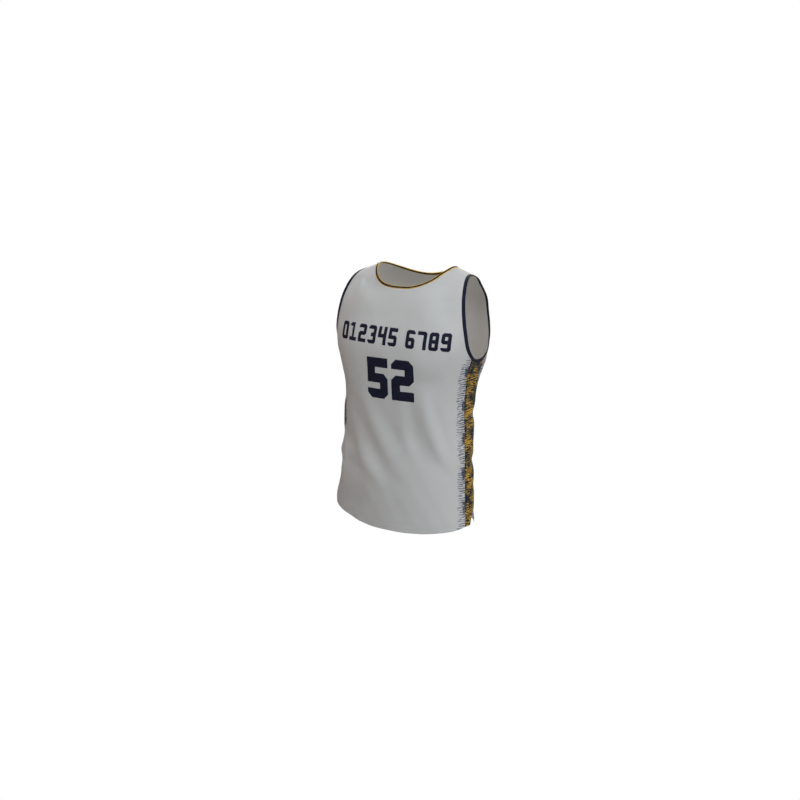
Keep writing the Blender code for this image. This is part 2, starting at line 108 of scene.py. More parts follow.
# Folds: turn about the body (degrees, 0 at the wearer's left side, 90 at centre front,
# negative at the back) and height of the start, of the point that bends it and of the end;
# then half width and depth, above zero for a trough and below zero for a ridge.
LARGE_FOLDS = (
    (126.1, -0.399, 133.1, -0.480, 88.9, -0.599, 0.0185, -0.0024),
    (118.2, -0.345, 95.5, -0.478, 78.2, -0.568, 0.0160, -0.0017),
    (77.3, -0.404, 75.7, -0.453, 66.0, -0.500, 0.0165, -0.0022),
    (60.3, -0.327, 57.6, -0.455, 33.6, -0.535, 0.0180, -0.0044),
    (55.9, -0.343, 53.8, -0.386, 39.8, -0.505, 0.0127, -0.0030),
    (121.1, -0.439, 137.2, -0.538, 113.4, -0.577, 0.0430, 0.0033),
    (119.2, -0.405, 106.2, -0.481, 79.9, -0.588, 0.0270, 0.0041),
    (127.8, -0.425, 111.4, -0.500, 99.8, -0.539, 0.0236, 0.0028),
    (91.1, -0.380, 81.6, -0.468, 76.0, -0.498, 0.0500, 0.0048),
    (71.6, -0.350, 69.9, -0.484, 49.2, -0.524, 0.0345, 0.0038),
    (134.0, -0.429, 126.0, -0.491, 118.6, -0.523, 0.0260, 0.0032),
    (160.2, -0.413, 154.0, -0.446, 137.0, -0.497, 0.0240, 0.0060),
    (130.4, -0.639, 120.7, -0.666, 109.2, -0.690, 0.0450, 0.0045),
    (60.0, -0.197, 47.8, -0.224, 39.2, -0.185, 0.0450, -0.0060),
    (73.1, -0.221, 55.6, -0.202, 38.5, -0.235, 0.0320, 0.0033),
    (65.3, -0.120, 53.5, -0.161, 41.4, -0.170, 0.0235, -0.0034),
    (54.5, -0.059, 51.5, -0.125, 54.3, -0.198, 0.0440, 0.0065),
    (126.6, -0.040, 126.0, -0.118, 136.0, -0.178, 0.0300, 0.0030),
    (123.5, -0.032, 118.4, -0.054, 125.2, -0.057, 0.0450, 0.0055),
    (116.3, -0.057, 108.6, -0.068, 97.4, -0.075, 0.0222, 0.0040),
    (55.9, -0.030, 54.0, -0.035, 47.5, -0.067, 0.0219, 0.0050),
    (180.0, -0.343, 162.0, -0.403, 170.0, -0.462, 0.0200, -0.0130),
    (165.0, -0.268, 152.0, -0.317, 161.0, -0.353, 0.0370, 0.0068),
    (163.0, -0.513, 151.0, -0.572, 164.0, -0.626, 0.0255, 0.0145),
    (6.0, -0.404, -20.0, -0.396, -44.0, -0.404, 0.0160, 0.0034),
    (4.0, -0.536, -20.0, -0.530, -42.0, -0.534, 0.0150, 0.0038),
    (-33.0, -0.232, -31.0, -0.252, -28.0, -0.272, 0.0180, -0.0030),
    (-30.0, -0.306, -27.0, -0.322, -25.0, -0.345, 0.0180, 0.0018),
    (-72.0, -0.390, -66.0, -0.500, -50.0, -0.590, 0.025, 0.0055),
    (-92.0, -0.420, -91.0, -0.520, -82.0, -0.620, 0.024, 0.0045),
    (-110.0, -0.380, -116.0, -0.480, -130.0, -0.570, 0.025, 0.0055),
    (-82.0, -0.410, -78.0, -0.520, -66.0, -0.610, 0.020, -0.0034),
    (-102.0, -0.440, -104.0, -0.520, -112.0, -0.600, 0.019, -0.0030),
)
SMALL_FOLDS = (
    (152.0, -0.519, 149.0, -0.535, 148.0, -0.552, 0.0105, -0.0064),
    (68.9, -0.040, 59.4, -0.069, 46.4, -0.094, 0.0225, 0.0024),
    (52.6, -0.012, 58.1, -0.069, 44.4, -0.060, 0.0152, -0.0014),
    (38.7, -0.264, 28.3, -0.283, 23.2, -0.320, 0.0270, 0.0020),
    (18.6, -0.437, 26.7, -0.463, 27.6, -0.483, 0.0174, 0.0011),
    (132.0, -0.434, 127.6, -0.497, 114.6, -0.561, 0.0139, 0.0013),
    (125.9, -0.427, 123.8, -0.502, 102.2, -0.550, 0.0150, 0.0013),
    (129.7, -0.558, 119.1, -0.559, 106.8, -0.600, 0.0184, 0.0013),
    (132.5, -0.549, 130.8, -0.555, 118.1, -0.620, 0.0159, 0.0008),
    (74.6, -0.272, 48.0, -0.324, 31.0, -0.300, 0.0256, 0.0010),
    (2.0, -0.604, -18.0, -0.598, -36.0, -0.602, 0.0130, 0.0018),
    (0.0, -0.680, -18.0, -0.674, -34.0, -0.680, 0.0130, 0.0016),
    (34.0, -0.250, 26.0, -0.262, 19.0, -0.280, 0.009, 0.0011),
    (146.0, -0.250, 154.0, -0.262, 161.0, -0.280, 0.009, 0.0011),
    (-60.0, -0.070, -52.0, -0.095, -44.0, -0.130, 0.014, 0.0014),
    (-120.0, -0.070, -128.0, -0.095, -136.0, -0.130, 0.014, 0.0014),
    (-38.0, -0.262, -30.0, -0.285, -21.0, -0.315, 0.012, 0.0018),
    (-142.0, -0.262, -150.0, -0.285, -159.0, -0.315, 0.012, 0.0018),
    (-62.0, -0.340, -80.0, -0.365, -104.0, -0.350, 0.020, 0.0022),
    (-70.0, -0.640, -80.0, -0.660, -92.0, -0.690, 0.020, 0.0014),
    (-28.0, -0.420, -34.0, -0.450, -40.0, -0.500, 0.013, 0.0018),
    (-152.0, -0.420, -146.0, -0.455, -139.0, -0.510, 0.013, 0.0018),
)

# ---- finer sizes of the looks -------------------------------------------------------------
SHELL = 0.0011            # thickness of one layer of knit
SEAM_CLOSE = 0.00004      # each shell stops this far short of its seam line
EDGE_ROLL = 0.00050       # how far a sewn edge dips into its seam
EDGE_THIN = 0.25          # share of that by which its inner face rises
BINDING_THICK = 0.0022    # thickness of a folded binding
ROWS_LOW = 26             # the solids' rows below the armhole
ROWS_ARM = 13             # and beside it
COLS_NECK_FRONT = 26      # their columns under the neck
COLS_NECK_BACK = 20
COLS_STRAP = 6            # across a shoulder
COLS_SIDE = 4             # and across a side panel
FINER = 3                 # shell rows and columns for each one of the solids
BAND_FINER = 5            # binding stations for each one of the solids
FIRST_ROUNDS = 220        # rounds that even out a panel's coarse net
LAST_ROUNDS = 30          # and its fine one
HEM_CROWD = 0.26          # how far the columns crowd to the middle of the hem
HEM_DEPTH = 0.020         # turned-up hem


# ---- smooth curves ------------------------------------------------------------------------
def spline(knots, values):
    """Natural cubic spline through (knots, values); returns a function."""
    order = np.argsort(knots)
    x = np.asarray(knots, float)[order]
    y = np.asarray(values, float)[order]
    n = len(x)
    h = np.diff(x)
    matrix = np.eye(n)
    right = np.zeros(n)
    for i in range(1, n - 1):
        matrix[i, i - 1:i + 2] = h[i - 1], 2.0 * (h[i - 1] + h[i]), h[i]
        right[i] = 6.0 * ((y[i + 1] - y[i]) / h[i] - (y[i] - y[i - 1]) / h[i - 1])
    m = np.linalg.solve(matrix, right)

    def value(at):
        at = np.clip(np.asarray(at, float), x[0], x[-1])
        i = np.clip(np.searchsorted(x, at) - 1, 0, n - 2)
        lo = at - x[i]
        hi = x[i + 1] - at
        cubic = (m[i] * hi ** 3 + m[i + 1] * lo ** 3) / (6.0 * h[i])
        return (cubic + (y[i] / h[i] - m[i] * h[i] / 6.0) * hi
                + (y[i + 1] / h[i] - m[i + 1] * h[i] / 6.0) * lo)

    return value


HALF_WIDTH, FRONT_DEPTH, BACK_DEPTH, SQUARE, CENTRE_Y, CENTRE_X = (
    spline(SECTIONS[:, 0], SECTIONS[:, k]) for k in range(1, 7))
HEM_SHIFT = spline(HANG[:, 0], HANG[:, 1])


def form(turn, z):
    """Point of the body form at a turn (radians, 0 at +X, positive to the front) and height."""
    c = np.cos(turn)
    s = np.sin(turn)
    n = SQUARE(z)
    reach = (np.abs(c) ** n + np.abs(s) ** n) ** (-1.0 / n)
    depth = np.where(s >= 0.0, FRONT_DEPTH(z), BACK_DEPTH(z))
    x = CENTRE_X(z) + HALF_WIDTH(z) * reach * c
    y = CENTRE_Y(z) - depth * reach * s
    return np.stack([x, y, z + 0.0 * x], axis=-1)


def turn_of(point):
    """Turn and height of a point on, or close to, the form."""
    z = point[..., 2]
    across = (point[..., 0] - CENTRE_X(z)) / HALF_WIDTH(z)
    out = CENTRE_Y(z) - point[..., 1]
    depth = np.where(out >= 0.0, FRONT_DEPTH(z), BACK_DEPTH(z))
    return np.arctan2(out / depth, across), z


def hung(turn, z):
    """Turn and height at which a place on the plain cut hangs."""
    slid = 0.0
    for middle, level, amount, wide, high in SLIDES:
        beside = turn - math.radians(middle)
        beside = np.degrees(np.arctan2(np.sin(beside), np.cos(beside)))
        slid = slid + amount * np.exp(-(beside / wide) ** 2 - ((z - level) / high) ** 2)
    facing = np.degrees(np.arctan2(np.sin(turn), np.cos(turn)))
    share = np.clip((HANG_FROM - z) / (HANG_FROM - HEM_LOW), 0.0, 1.1)
    return turn - np.radians(slid), z + share ** 2 * HEM_SHIFT(facing)


def slopes(turn, z, step=1e-5):
    """The form's two derivatives."""
    by_turn = (form(turn + step, z) - form(turn - step, z)) / (2.0 * step)
    by_z = (form(turn, z + step) - form(turn, z - step)) / (2.0 * step)
    return by_turn, by_z


def unit(v):
    return v / np.linalg.norm(v, axis=-1, keepdims=True)


def outward(turn, z):
    by_turn, by_z = slopes(turn, z)
    return unit(np.cross(by_z, by_turn))


# ---- the flat cut -------------------------------------------------------------------------
LEVELS = np.linspace(-0.76, 0.02, 157)
TURNS = np.radians(np.linspace(-205.0, 205.0, 1641))
BODY_HALF = 0.2           # about half the body's width
TURN_ROUNDS = 12          # rounds in which a turn is found from a distance


def arc_table():
    """Distance round each level section from the wearer's left side."""
    turn, z = np.meshgrid(TURNS, LEVELS)
    steps = np.linalg.norm(np.diff(form(turn, z), axis=1), axis=-1)
    run = np.concatenate([np.zeros((len(LEVELS), 1)), np.cumsum(steps, axis=1)], axis=1)
    return run - run[:, len(TURNS) // 2:len(TURNS) // 2 + 1]


ARCS = arc_table()


def rise_table():
    """Distance up the centre front from the lowest level."""
    line = form(np.full(len(LEVELS), math.pi / 2.0), LEVELS)
    return np.r_[0.0, np.cumsum(np.linalg.norm(np.diff(line, axis=0), axis=1))]


RISES = rise_table()


def around(turn, z):
    """Distance along the level section from the wearer's left side."""
    i = np.clip((z - LEVELS[0]) / (LEVELS[1] - LEVELS[0]), 0.0, len(LEVELS) - 1.001)
    j = np.clip((turn - TURNS[0]) / (TURNS[1] - TURNS[0]), 0.0, len(TURNS) - 1.001)
    i0 = np.floor(i).astype(int)
    j0 = np.floor(j).astype(int)
    fi = i - i0
    fj = j - j0
    low = ARCS[i0, j0] * (1 - fj) + ARCS[i0, j0 + 1] * fj
    high = ARCS[i0 + 1, j0] * (1 - fj) + ARCS[i0 + 1, j0 + 1] * fj
    return low * (1 - fi) + high * fi


def flat_place(turn, z, middle):
    """Place in the flat cut: across from the piece's middle line, and up."""
    across = around(turn, z) - around(np.full_like(turn, middle), z)
    return np.stack([-across, np.interp(z, LEVELS, RISES)], axis=-1)


def turn_at(across, z):
    """Turn of the front's point that lies `across` metres from centre front at a height."""
    target = around(np.full_like(z, math.pi / 2.0), z) - across
    turn = math.pi / 2.0 - across / BODY_HALF
    for _ in range(TURN_ROUNDS):
        by_turn, _unused = slopes(turn, z)
        turn = turn - (around(turn, z) - target) / np.linalg.norm(by_turn, axis=-1)
    return turn


# ---- folds --------------------------------------------------------------------------------
FOLD_STATIONS = 13        # points along a fold's line
FOLD_END = 0.12           # the depth follows a half sine that is cut off by this share each end
SHOULDER_AT = 1.9         # half widths from its line at which a fold throws up a shoulder
SHOULDER = 0.30           # and the shoulder's share of the depth


def fold_offset(points, folds):
    """How far the cloth stands out from the form at each point, from a fold table."""
    total = np.zeros(points.shape[:-1])
    t = np.linspace(0.0, 1.0, FOLD_STATIONS)[:, None]
    for a0, z0, a1, z1, a2, z2, width, depth in folds:
        knots = np.array([(math.radians(a0), z0), (math.radians(a1), z1), (math.radians(a2), z2)])
        axis = (1 - t) ** 2 * knots[0] + 2 * t * (1 - t) * knots[1] + t ** 2 * knots[2]
        line = form(axis[:, 0], axis[:, 1])
        best = np.full(points.shape[:-1], 1e9)
        along = np.zeros(points.shape[:-1])
        for k in range(len(line) - 1):
            step = line[k + 1] - line[k]
            f = np.clip(((points - line[k]) @ step) / (step @ step), 0.0, 1.0)
            gap = np.linalg.norm(points - line[k] - f[..., None] * step, axis=-1)
            closer = gap < best
            best = np.where(closer, gap, best)
            along = np.where(closer, (k + f) / (len(line) - 1), along)
        across = best / width
        taper = np.sin(np.pi * (FOLD_END + (1.0 - 2.0 * FOLD_END) * along))
        shoulder = SHOULDER * np.exp(-(across - SHOULDER_AT) ** 2)
        total -= depth * taper * (np.exp(-across ** 2) - shoulder)
    return total


# Slow unevenness of hung knit: wave length across and up (m), phase, height (m).
UNEVEN = (
    (0.170, 0.230, 0.4, 0.0005),
    (-0.110, 0.190, 1.7, 0.0004),
    (0.075, 0.120, 3.1, 0.0003),
    (-0.052, 0.085, 4.6, 0.0002),
)
TAUT = 0.35               # share of it that is left over the shoulders
TAUT_ABOVE = -0.10
TAUT_SPREAD = 0.15


def unevenness(turn, z):
    """How far the cloth stands out from the form where no fold is."""
    u = around(turn, z)
    total = np.zeros_like(u)
    for across, up, phase, height in UNEVEN:
        total += height * np.sin(2.0 * math.pi * (u / across + z / up) + phase)
    below_shoulders = np.clip((TAUT_ABOVE - z) / TAUT_SPREAD, 0.0, 1.0)
    return total * (TAUT + (1.0 - TAUT) * below_shoulders)


def on_cloth(turn, z):
    """Outer face of the cloth and its outward direction on the plain form."""
    turn, z = hung(turn, z)
    base = form(turn, z)
    away = outward(turn, z)
    out = fold_offset(base, LARGE_FOLDS) + fold_offset(base, SMALL_FOLDS) + unevenness(turn, z)
    return base + away * out[..., None], away


# ---- outlines of the openings and seams ---------------------------------------------------
def hem_height(turn):
    """Height of the hem on the plain cut."""
    across = np.abs(np.cos(turn))
    return HEM_LOW + HEM_RISE * across ** HEM_CURVE


def seam_turn(z, offset):
    """Turn at which the side of the body (wearer's left) stands `offset` behind its middle."""
    depth = np.where(offset < 0.0, FRONT_DEPTH(z), BACK_DEPTH(z))
    rise = np.abs(offset) / depth
    n = SQUARE(z)
    across = (1.0 - rise ** n) ** (1.0 / n)
    return -np.sign(offset) * np.arctan2(rise, across)


def flared(z):
    """Width of the side panel as a share of its width at the waist."""
    return 1.0 + SIDE_FLARE * np.exp(-((z - SIDE_FLARE_AT) / SIDE_FLARE_SPREAD) ** 2)


def side_seam(z, offset):
    """Turn of a side seam, or of a line beside it, given by its offset at the waist."""
    return seam_turn(z, offset * flared(z))


def neck_edge(share, front):
    """Open neck from the wearer's left shoulder point (share 0) to the middle (share 1)."""
    drop = NECK_FRONT_DROP if front else NECK_BACK_DROP
    power = NECK_FRONT_CURVE if front else NECK_BACK_CURVE
    sign = 1.0 if front else -1.0
    fine = np.sin(np.linspace(0.0, math.pi / 2.0, 400)) ** 2
    x = NECK_WIDTH / 2.0 * (1.0 - fine)
    z = -drop * (1.0 - (2.0 * x / NECK_WIDTH) ** power)
    n = SQUARE(z)
    across = np.clip(x / HALF_WIDTH(z), 0.0, 1.0)
    turn = sign * np.arctan2((1.0 - across ** n) ** (1.0 / n), across)
    line = form(turn, z)
    run = np.r_[0.0, np.cumsum(np.linalg.norm(np.diff(line, axis=0), axis=1))]
    at = np.asarray(share) * run[-1]
    return np.interp(at, run, turn), np.interp(at, run, z)


def arm_edge(t):
    """Open armhole; t is 0 at the shoulder, rises down the front and is pi under the arm."""
    middle = (ARM_TOP + ARM_BOTTOM) / 2.0
    half = (ARM_TOP - ARM_BOTTOM) / 2.0
    z = middle + half * np.cos(t)
    reach = np.where(np.sin(t) >= 0.0, -ARM_FRONT, -ARM_BACK * (1.0 - ARM_EGG * np.cos(t)))
    return seam_turn(z, reach * np.sin(t) + 1e-9), z


def stepped(turn, z, distance):
    """Moves a closed outline sideways over the form, to the right of the way it runs."""
    line = form(turn, z)
    tangent = unit(np.roll(line, -1, axis=0) - np.roll(line, 1, axis=0))
    side = np.cross(tangent, outward(turn, z))
    return turn_of(line + distance * unit(side))


def neck_outline(distance, finer=1):
    """Closed neck outline, `distance` outside the open edge."""
    front = neck_edge(np.linspace(0.0, 1.0, COLS_NECK_FRONT // 2 * finer + 1), True)
    back = neck_edge(np.linspace(0.0, 1.0, COLS_NECK_BACK // 2 * finer + 1), False)
    turn = np.r_[front[0], math.pi - front[0][-2::-1], -math.pi - back[0][1:], back[0][-2:0:-1]]
    z = np.r_[front[1], front[1][-2::-1], back[1][1:], back[1][-2:0:-1]]
    if distance == 0.0:
        return turn, z
    return stepped(turn, z, -distance)


def corner_t(offset, distance):
    """Armhole station at which the stepped outline crosses a side seam."""
    t = np.linspace(0.6 * math.pi, 1.4 * math.pi, 801)
    turn, z = stepped(*arm_edge(t), distance)
    behind = (form(turn, z)[:, 1] - CENTRE_Y(z)) / flared(z)
    inner = slice(5, -5)    # the ends are stepped as if the piece of outline were closed
    return float(np.interp(offset, behind[inner], t[inner]))


def arm_stations(finer=1):
    """Stations round the armhole: front from the shoulder down, under the arm, back."""
    first = corner_t(SIDE_FRONT, ARM_BAND)
    last = corner_t(SIDE_BACK, ARM_BAND)
    front = np.linspace(0.0, first, ROWS_ARM * finer + 1)
    under = np.linspace(first, last, COLS_SIDE * finer + 1)
    back = np.linspace(last, 2.0 * math.pi, ROWS_ARM * finer + 1)
    return np.r_[front, under[1:], back[1:-1]]


def arm_outline(distance, finer=1):
    """Closed armhole outline of the wearer's left, `distance` outside the open edge."""
    turn, z = arm_edge(arm_stations(finer))
    if distance == 0.0:
        return turn, z
    return stepped(turn, z, distance)


# ---- grids --------------------------------------------------------------------------------
RELAX_STEP = 0.9          # share of the way to its neighbours' middle that a point moves


def relax(turn, z, rounds):
    """Evens out a grid on the form with its border held."""
    for _ in range(rounds):
        points = form(turn, z)
        beside = points[1:-1, 2:] + points[1:-1, :-2]
        above = points[2:, 1:-1] + points[:-2, 1:-1]
        move = 0.25 * (above + beside) - points[1:-1, 1:-1]
        by_turn, by_z = slopes(turn[1:-1, 1:-1], z[1:-1, 1:-1])
        a = np.sum(by_turn * by_turn, axis=-1)
        b = np.sum(by_turn * by_z, axis=-1)
        c = np.sum(by_z * by_z, axis=-1)
        p = np.sum(move * by_turn, axis=-1)
        q = np.sum(move * by_z, axis=-1)
        det = a * c - b * b
        turn[1:-1, 1:-1] += RELAX_STEP * (c * p - b * q) / det
        z[1:-1, 1:-1] += RELAX_STEP * (a * q - b * p) / det
    return turn, z


def spread(first, last, count, crowd):
    """Evenly spaced values, crowded to the middle by `crowd`."""
    t = np.linspace(-1.0, 1.0, count)
    t = (1.0 - crowd) * t + crowd * t ** 3
    return first + (last - first) * (t + 1.0) / 2.0


def panel_borders(front, finer):
    """Side edge, top edge and hem of the front or back panel, from the wearer's left."""
    sign = 1.0 if front else -1.0
    seam = (SIDE_FRONT if front else SIDE_BACK) - sign * SEAM_CLOSE
    neck_half = (COLS_NECK_FRONT if front else COLS_NECK_BACK) // 2 * finer
    arm_turn, arm_z = arm_outline(ARM_BAND + SEAM_CLOSE, finer)
    rows = ROWS_ARM * finer
    if front:
        arm_turn = arm_turn[rows::-1].copy()
        arm_z = arm_z[rows::-1]
    else:
        start = rows + COLS_SIDE * finer
        arm_turn = np.r_[arm_turn[start:], arm_turn[0]]
        arm_z = np.r_[arm_z[start:], arm_z[0]]
    arm_turn[-1] = seam_turn(arm_z[-1], -sign * SEAM_CLOSE)
    arm_turn[0] = side_seam(arm_z[0], seam)
    low_z = np.linspace(hem_height(side_seam(HEM_LOW, seam)), arm_z[0], ROWS_LOW * finer + 1)
    edge_turn = np.r_[side_seam(low_z, seam)[:-1], arm_turn]
    edge_z = np.r_[low_z[:-1], arm_z]
    neck_turn, neck_z = neck_outline(NECK_BAND + SEAM_CLOSE, finer)
    if front:
        neck_turn = neck_turn[:neck_half + 1].copy()
        neck_z = neck_z[:neck_half + 1]
    else:
        neck_turn = np.r_[neck_turn[0], neck_turn[:-neck_half - 1:-1]]
        neck_z = np.r_[neck_z[0], neck_z[:-neck_half - 1:-1]]
    neck_turn[0] = seam_turn(neck_z[0], -sign * SEAM_CLOSE)
    neck_turn[-1] = sign * math.pi / 2.0
    strap_z = np.linspace(edge_z[-1], neck_z[0], COLS_STRAP * finer + 1)
    half_turn = np.r_[seam_turn(strap_z, -sign * SEAM_CLOSE)[:-1], neck_turn]
    half_z = np.r_[strap_z[:-1], neck_z]
    top_turn = np.r_[half_turn, sign * math.pi - half_turn[-2::-1]]
    top_z = np.r_[half_z, half_z[-2::-1]]
    hem_turn = spread(edge_turn[0], sign * math.pi - edge_turn[0], len(top_turn), HEM_CROWD)
    return edge_turn, edge_z, top_turn, top_z, hem_turn


def first_fill(borders, sign):
    """A first even net between the borders."""
    edge_turn, edge_z, top_turn, top_z, hem_turn = borders
    rows = len(edge_turn) - 1
    turn = np.zeros((rows + 1, len(top_turn)))
    z = np.zeros_like(turn)
    middle = sign * math.pi / 2.0
    for j in range(rows + 1):
        v = j / rows
        inner = (1.0 - v ** 3) * hem_turn + v ** 3 * top_turn
        share = (inner - middle) / (inner[0] - middle)
        turn[j] = middle + (edge_turn[j] - middle) * share
        level = (1.0 - v) * hem_height(hem_turn) + v * top_z
        z[j] = level + edge_z[j] - level[0]
    return set_borders(turn, z, borders, sign)


def set_borders(turn, z, borders, sign):
    """Puts a grid's border on the panel's outline."""
    edge_turn, edge_z, top_turn, top_z, hem_turn = borders
    turn[:, 0] = edge_turn
    turn[:, -1] = sign * math.pi - edge_turn
    z[:, 0] = edge_z
    z[:, -1] = edge_z
    turn[-1] = top_turn
    z[-1] = top_z
    turn[0] = hem_turn
    z[0] = hem_height(hem_turn)
    return turn, z


def at_places(grid, rows, cols):
    """Values of a grid at fractional row and column places."""
    i = np.clip(np.floor(rows).astype(int), 0, grid.shape[0] - 2)
    j = np.clip(np.floor(cols).astype(int), 0, grid.shape[1] - 2)
    fi = (rows - i)[:, None]
    fj = (cols - j)[None, :]
    low = grid[i][:, j] * (1 - fj) + grid[i][:, j + 1] * fj
    high = grid[i + 1][:, j] * (1 - fj) + grid[i + 1][:, j + 1] * fj
    return low * (1 - fi) + high * fi


EDGE_STEPS = (0.0, 0.16, 0.45)         # shares of the first cell, where the edge rolls over
EDGE_DROP = (1.0, 0.45, 0.10)          # share of the roll at each of them


def edge_places(count):
    """Grid places with two more lines close to each border, and the roll at each place."""
    inner = np.arange(1, count - 1, dtype=float)
    steps = np.array(EDGE_STEPS)
    places = np.r_[steps, inner, count - 1 - steps[::-1]]
    drop = np.zeros(len(places))
    drop[:len(steps)] = EDGE_DROP
    drop[-len(steps):] = EDGE_DROP[::-1]
    return places, drop


def panel_grid(front):
    """Fine grid of the front or back panel; the turn falls along its columns."""
    sign = 1.0 if front else -1.0
    turn, z = relax(*first_fill(panel_borders(front, 1), sign), FIRST_ROUNDS)
    rows = np.linspace(0.0, turn.shape[0] - 1, (turn.shape[0] - 1) * FINER + 1)
    cols = np.linspace(0.0, turn.shape[1] - 1, (turn.shape[1] - 1) * FINER + 1)
    turn = at_places(turn, rows, cols)
    z = at_places(z, rows, cols)
    turn, z = relax(*set_borders(turn, z, panel_borders(front, FINER), sign), LAST_ROUNDS)
    if front:
        return turn[:, ::-1], z[:, ::-1]
    return turn, z


def side_grid():
    """Fine grid of the side panel on the wearer's left, narrowed beside the vent."""
    rows = ROWS_LOW * FINER
    cols = COLS_SIDE * FINER
    under = slice(ROWS_ARM * FINER, ROWS_ARM * FINER + cols + 1)
    top_turn, top_z = arm_outline(ARM_BAND + SEAM_CLOSE, FINER)
    top_turn = top_turn[under]
    top_z = top_z[under]
    turn = np.zeros((rows + 1, cols + 1))
    z = np.zeros((rows + 1, cols + 1))
    hem_z = hem_height(side_seam(HEM_LOW, SIDE_FRONT))
    for j in range(rows + 1):
        z[j] = hem_z + (top_z - hem_z) * j / rows
        below = np.clip((hem_z + VENT_HEIGHT - z[j, -1]) / VENT_HEIGHT, 0.0, 1.0)
        rear = SIDE_BACK - SEAM_CLOSE - VENT_TAPER * below
        turn[j] = side_seam(z[j], np.linspace(SIDE_FRONT + SEAM_CLOSE, rear, cols + 1) + 1e-9)
    turn[-1, 1:-1] = top_turn[1:-1]
    return turn, z


# ---- finishes -----------------------------------------------------------------------------
class Value:
    """A shader value or colour; arithmetic on it adds Math nodes."""

    def __init__(self, finish, socket):
        self.finish = finish
        self.socket = socket

    def math(self, operation, *others, first=None):
        start = self if first is None else first
        inputs = dict(enumerate((start,) + others))
        return self.finish.node("ShaderNodeMath", {"operation": operation}, inputs)

    def __add__(self, other):
        return self.math("ADD", other)

    __radd__ = __add__

    def __mul__(self, other):
        return self.math("MULTIPLY", other)

    __rmul__ = __mul__

    def __sub__(self, other):
        return self.math("SUBTRACT", other)

    def __rsub__(self, other):
        return self.math("SUBTRACT", self, first=other)

    def __abs__(self):
        return self.math("ABSOLUTE")

    def ripple(self, pitch):
        """1 at 0 and at every pitch from it, 0 halfway between."""
        return (self * (2.0 * math.pi / pitch)).math("COSINE") * 0.5 + 0.5

    def smooth(self, low, high):
        """0 below `low` and 1 above `high`, eased between; the other way if low > high."""
        flip = low > high
        ends = {"From Min": min(low, high), "From Max": max(low, high),
                "To Min": 1.0 if flip else 0.0, "To Max": 0.0 if flip else 1.0}
        return self.finish.node("ShaderNodeMapRange", {"interpolation_type": "SMOOTHSTEP"},
                                {"Value": self, **ends})


class Finish:
    """A material in the making."""

    def __init__(self, name, roughness=0.85, sheen=0.0):
        self.material = bpy.data.materials.new(name)
        self.material.use_nodes = True
        self.tree = self.material.node_tree
        self.shader = self.tree.nodes["Principled BSDF"]
        self.set_socket(self.shader.inputs["Roughness"], roughness)
        self.set_socket(self.shader.inputs["Sheen Weight"], sheen)
        self.set_socket(self.shader.inputs["Sheen Roughness"], 0.5)
        self.set_socket(self.shader.inputs["Specular IOR Level"], 0.25)

    def set_socket(self, socket, value):
        if isinstance(value, Value):
            self.tree.links.new(value.socket, socket)
        elif hasattr(value, "__len__") and len(value) == 3 and socket.type == "RGBA":
            socket.default_value = (*value, 1.0)
        else:
            socket.default_value = value

    def node(self, kind, settings=None, inputs=None, output=0):
        """Adds a node: its settings first, then the values or links of its sockets."""
        made = self.tree.nodes.new(kind)
        for key, value in (settings or {}).items():
            setattr(made, key, value)
        for key, value in (inputs or {}).items():
            self.set_socket(made.inputs[key], value)
        return Value(self, made.outputs[output])

    def mix(self, share, first, second):
        """Colour between two colours."""
        kind = {"data_type": "RGBA"}
        return self.node("ShaderNodeMix", kind, {0: share, 6: first, 7: second}, output=2)

    def flat(self):
        """Place on the flat cut, in metres, as a vector."""
        return self.node("ShaderNodeUVMap", {"uv_map": "cut"})

    def place(self):
        """Across and up on the flat cut, in metres."""
        parts = self.tree.nodes.new("ShaderNodeSeparateXYZ")
        self.tree.links.new(self.flat().socket, parts.inputs[0])
        return Value(self, parts.outputs[0]), Value(self, parts.outputs[1])

    def attribute(self, name):
        """A number that the piece's own points carry."""
        return self.node("ShaderNodeAttribute", {"attribute_name": name}, output=2)

    def vector(self, x, y, z=0.0):
        return self.node("ShaderNodeCombineXYZ", None, {0: x, 1: y, 2: z})

    def noise(self, at, scale, detail=2.0, rough=0.5):
        return self.node("ShaderNodeTexNoise", {"noise_dimensions": "3D"},
                         {"Vector": at, "Scale": scale, "Detail": detail, "Roughness": rough})

    def smears(self, u, across, v, up, layer=0.0, detail=2.0, rough=0.5):
        """Noise of `across` and `up` blots a metre; each layer is unlike the others."""
        return self.noise(self.vector(u * across, v * up, layer), 1.0, detail, rough)

    def finish(self, colour, height=None, depth=0.0002, roughness=None, strength=1.0):
        self.set_socket(self.shader.inputs["Base Color"], colour)
        if roughness is not None:
            self.set_socket(self.shader.inputs["Roughness"], roughness)
        if height is not None:
            bump = self.node("ShaderNodeBump", None,
                             {"Height": height, "Distance": depth, "Strength": strength})
            self.tree.links.new(bump.socket, self.shader.inputs["Normal"])
        return self.material


OFF_WHITE = (0.66, 0.665, 0.665)
SHADE_GREY = (0.58, 0.585, 0.59)
# painted shade in the eyelet holes of the mesh knit
EYELET_PAINTED_SHADE = (0.42, 0.425, 0.43)
INSIDE_PAINTED_LIGHT = (0.78, 0.775, 0.765)          # inside of the knit, painted lighter than the outside: painted light in place of light coming through the thin cloth
NAVY = (0.0090, 0.0120, 0.038)
NAVY_DEEP = (0.0055, 0.0075, 0.024)
NAVY_WORN = (0.048, 0.060, 0.105)       # strokes of the fringe at the seam
SLATE = (0.195, 0.225, 0.295)           # and at their ends
INK = (0.016, 0.036, 0.090)             # heaps of the fringe
CHARCOAL = (0.0085, 0.0150, 0.030)      # side print, from its ground to its brightest strokes
OLIVE = (0.150, 0.118, 0.042)
GOLD = (0.58, 0.33, 0.035)
GOLD_LIGHT = (0.84, 0.49, 0.050)
RIB_GOLD = (0.66, 0.40, 0.030)
RIB_GOLD_LIGHT = (0.92, 0.58, 0.045)

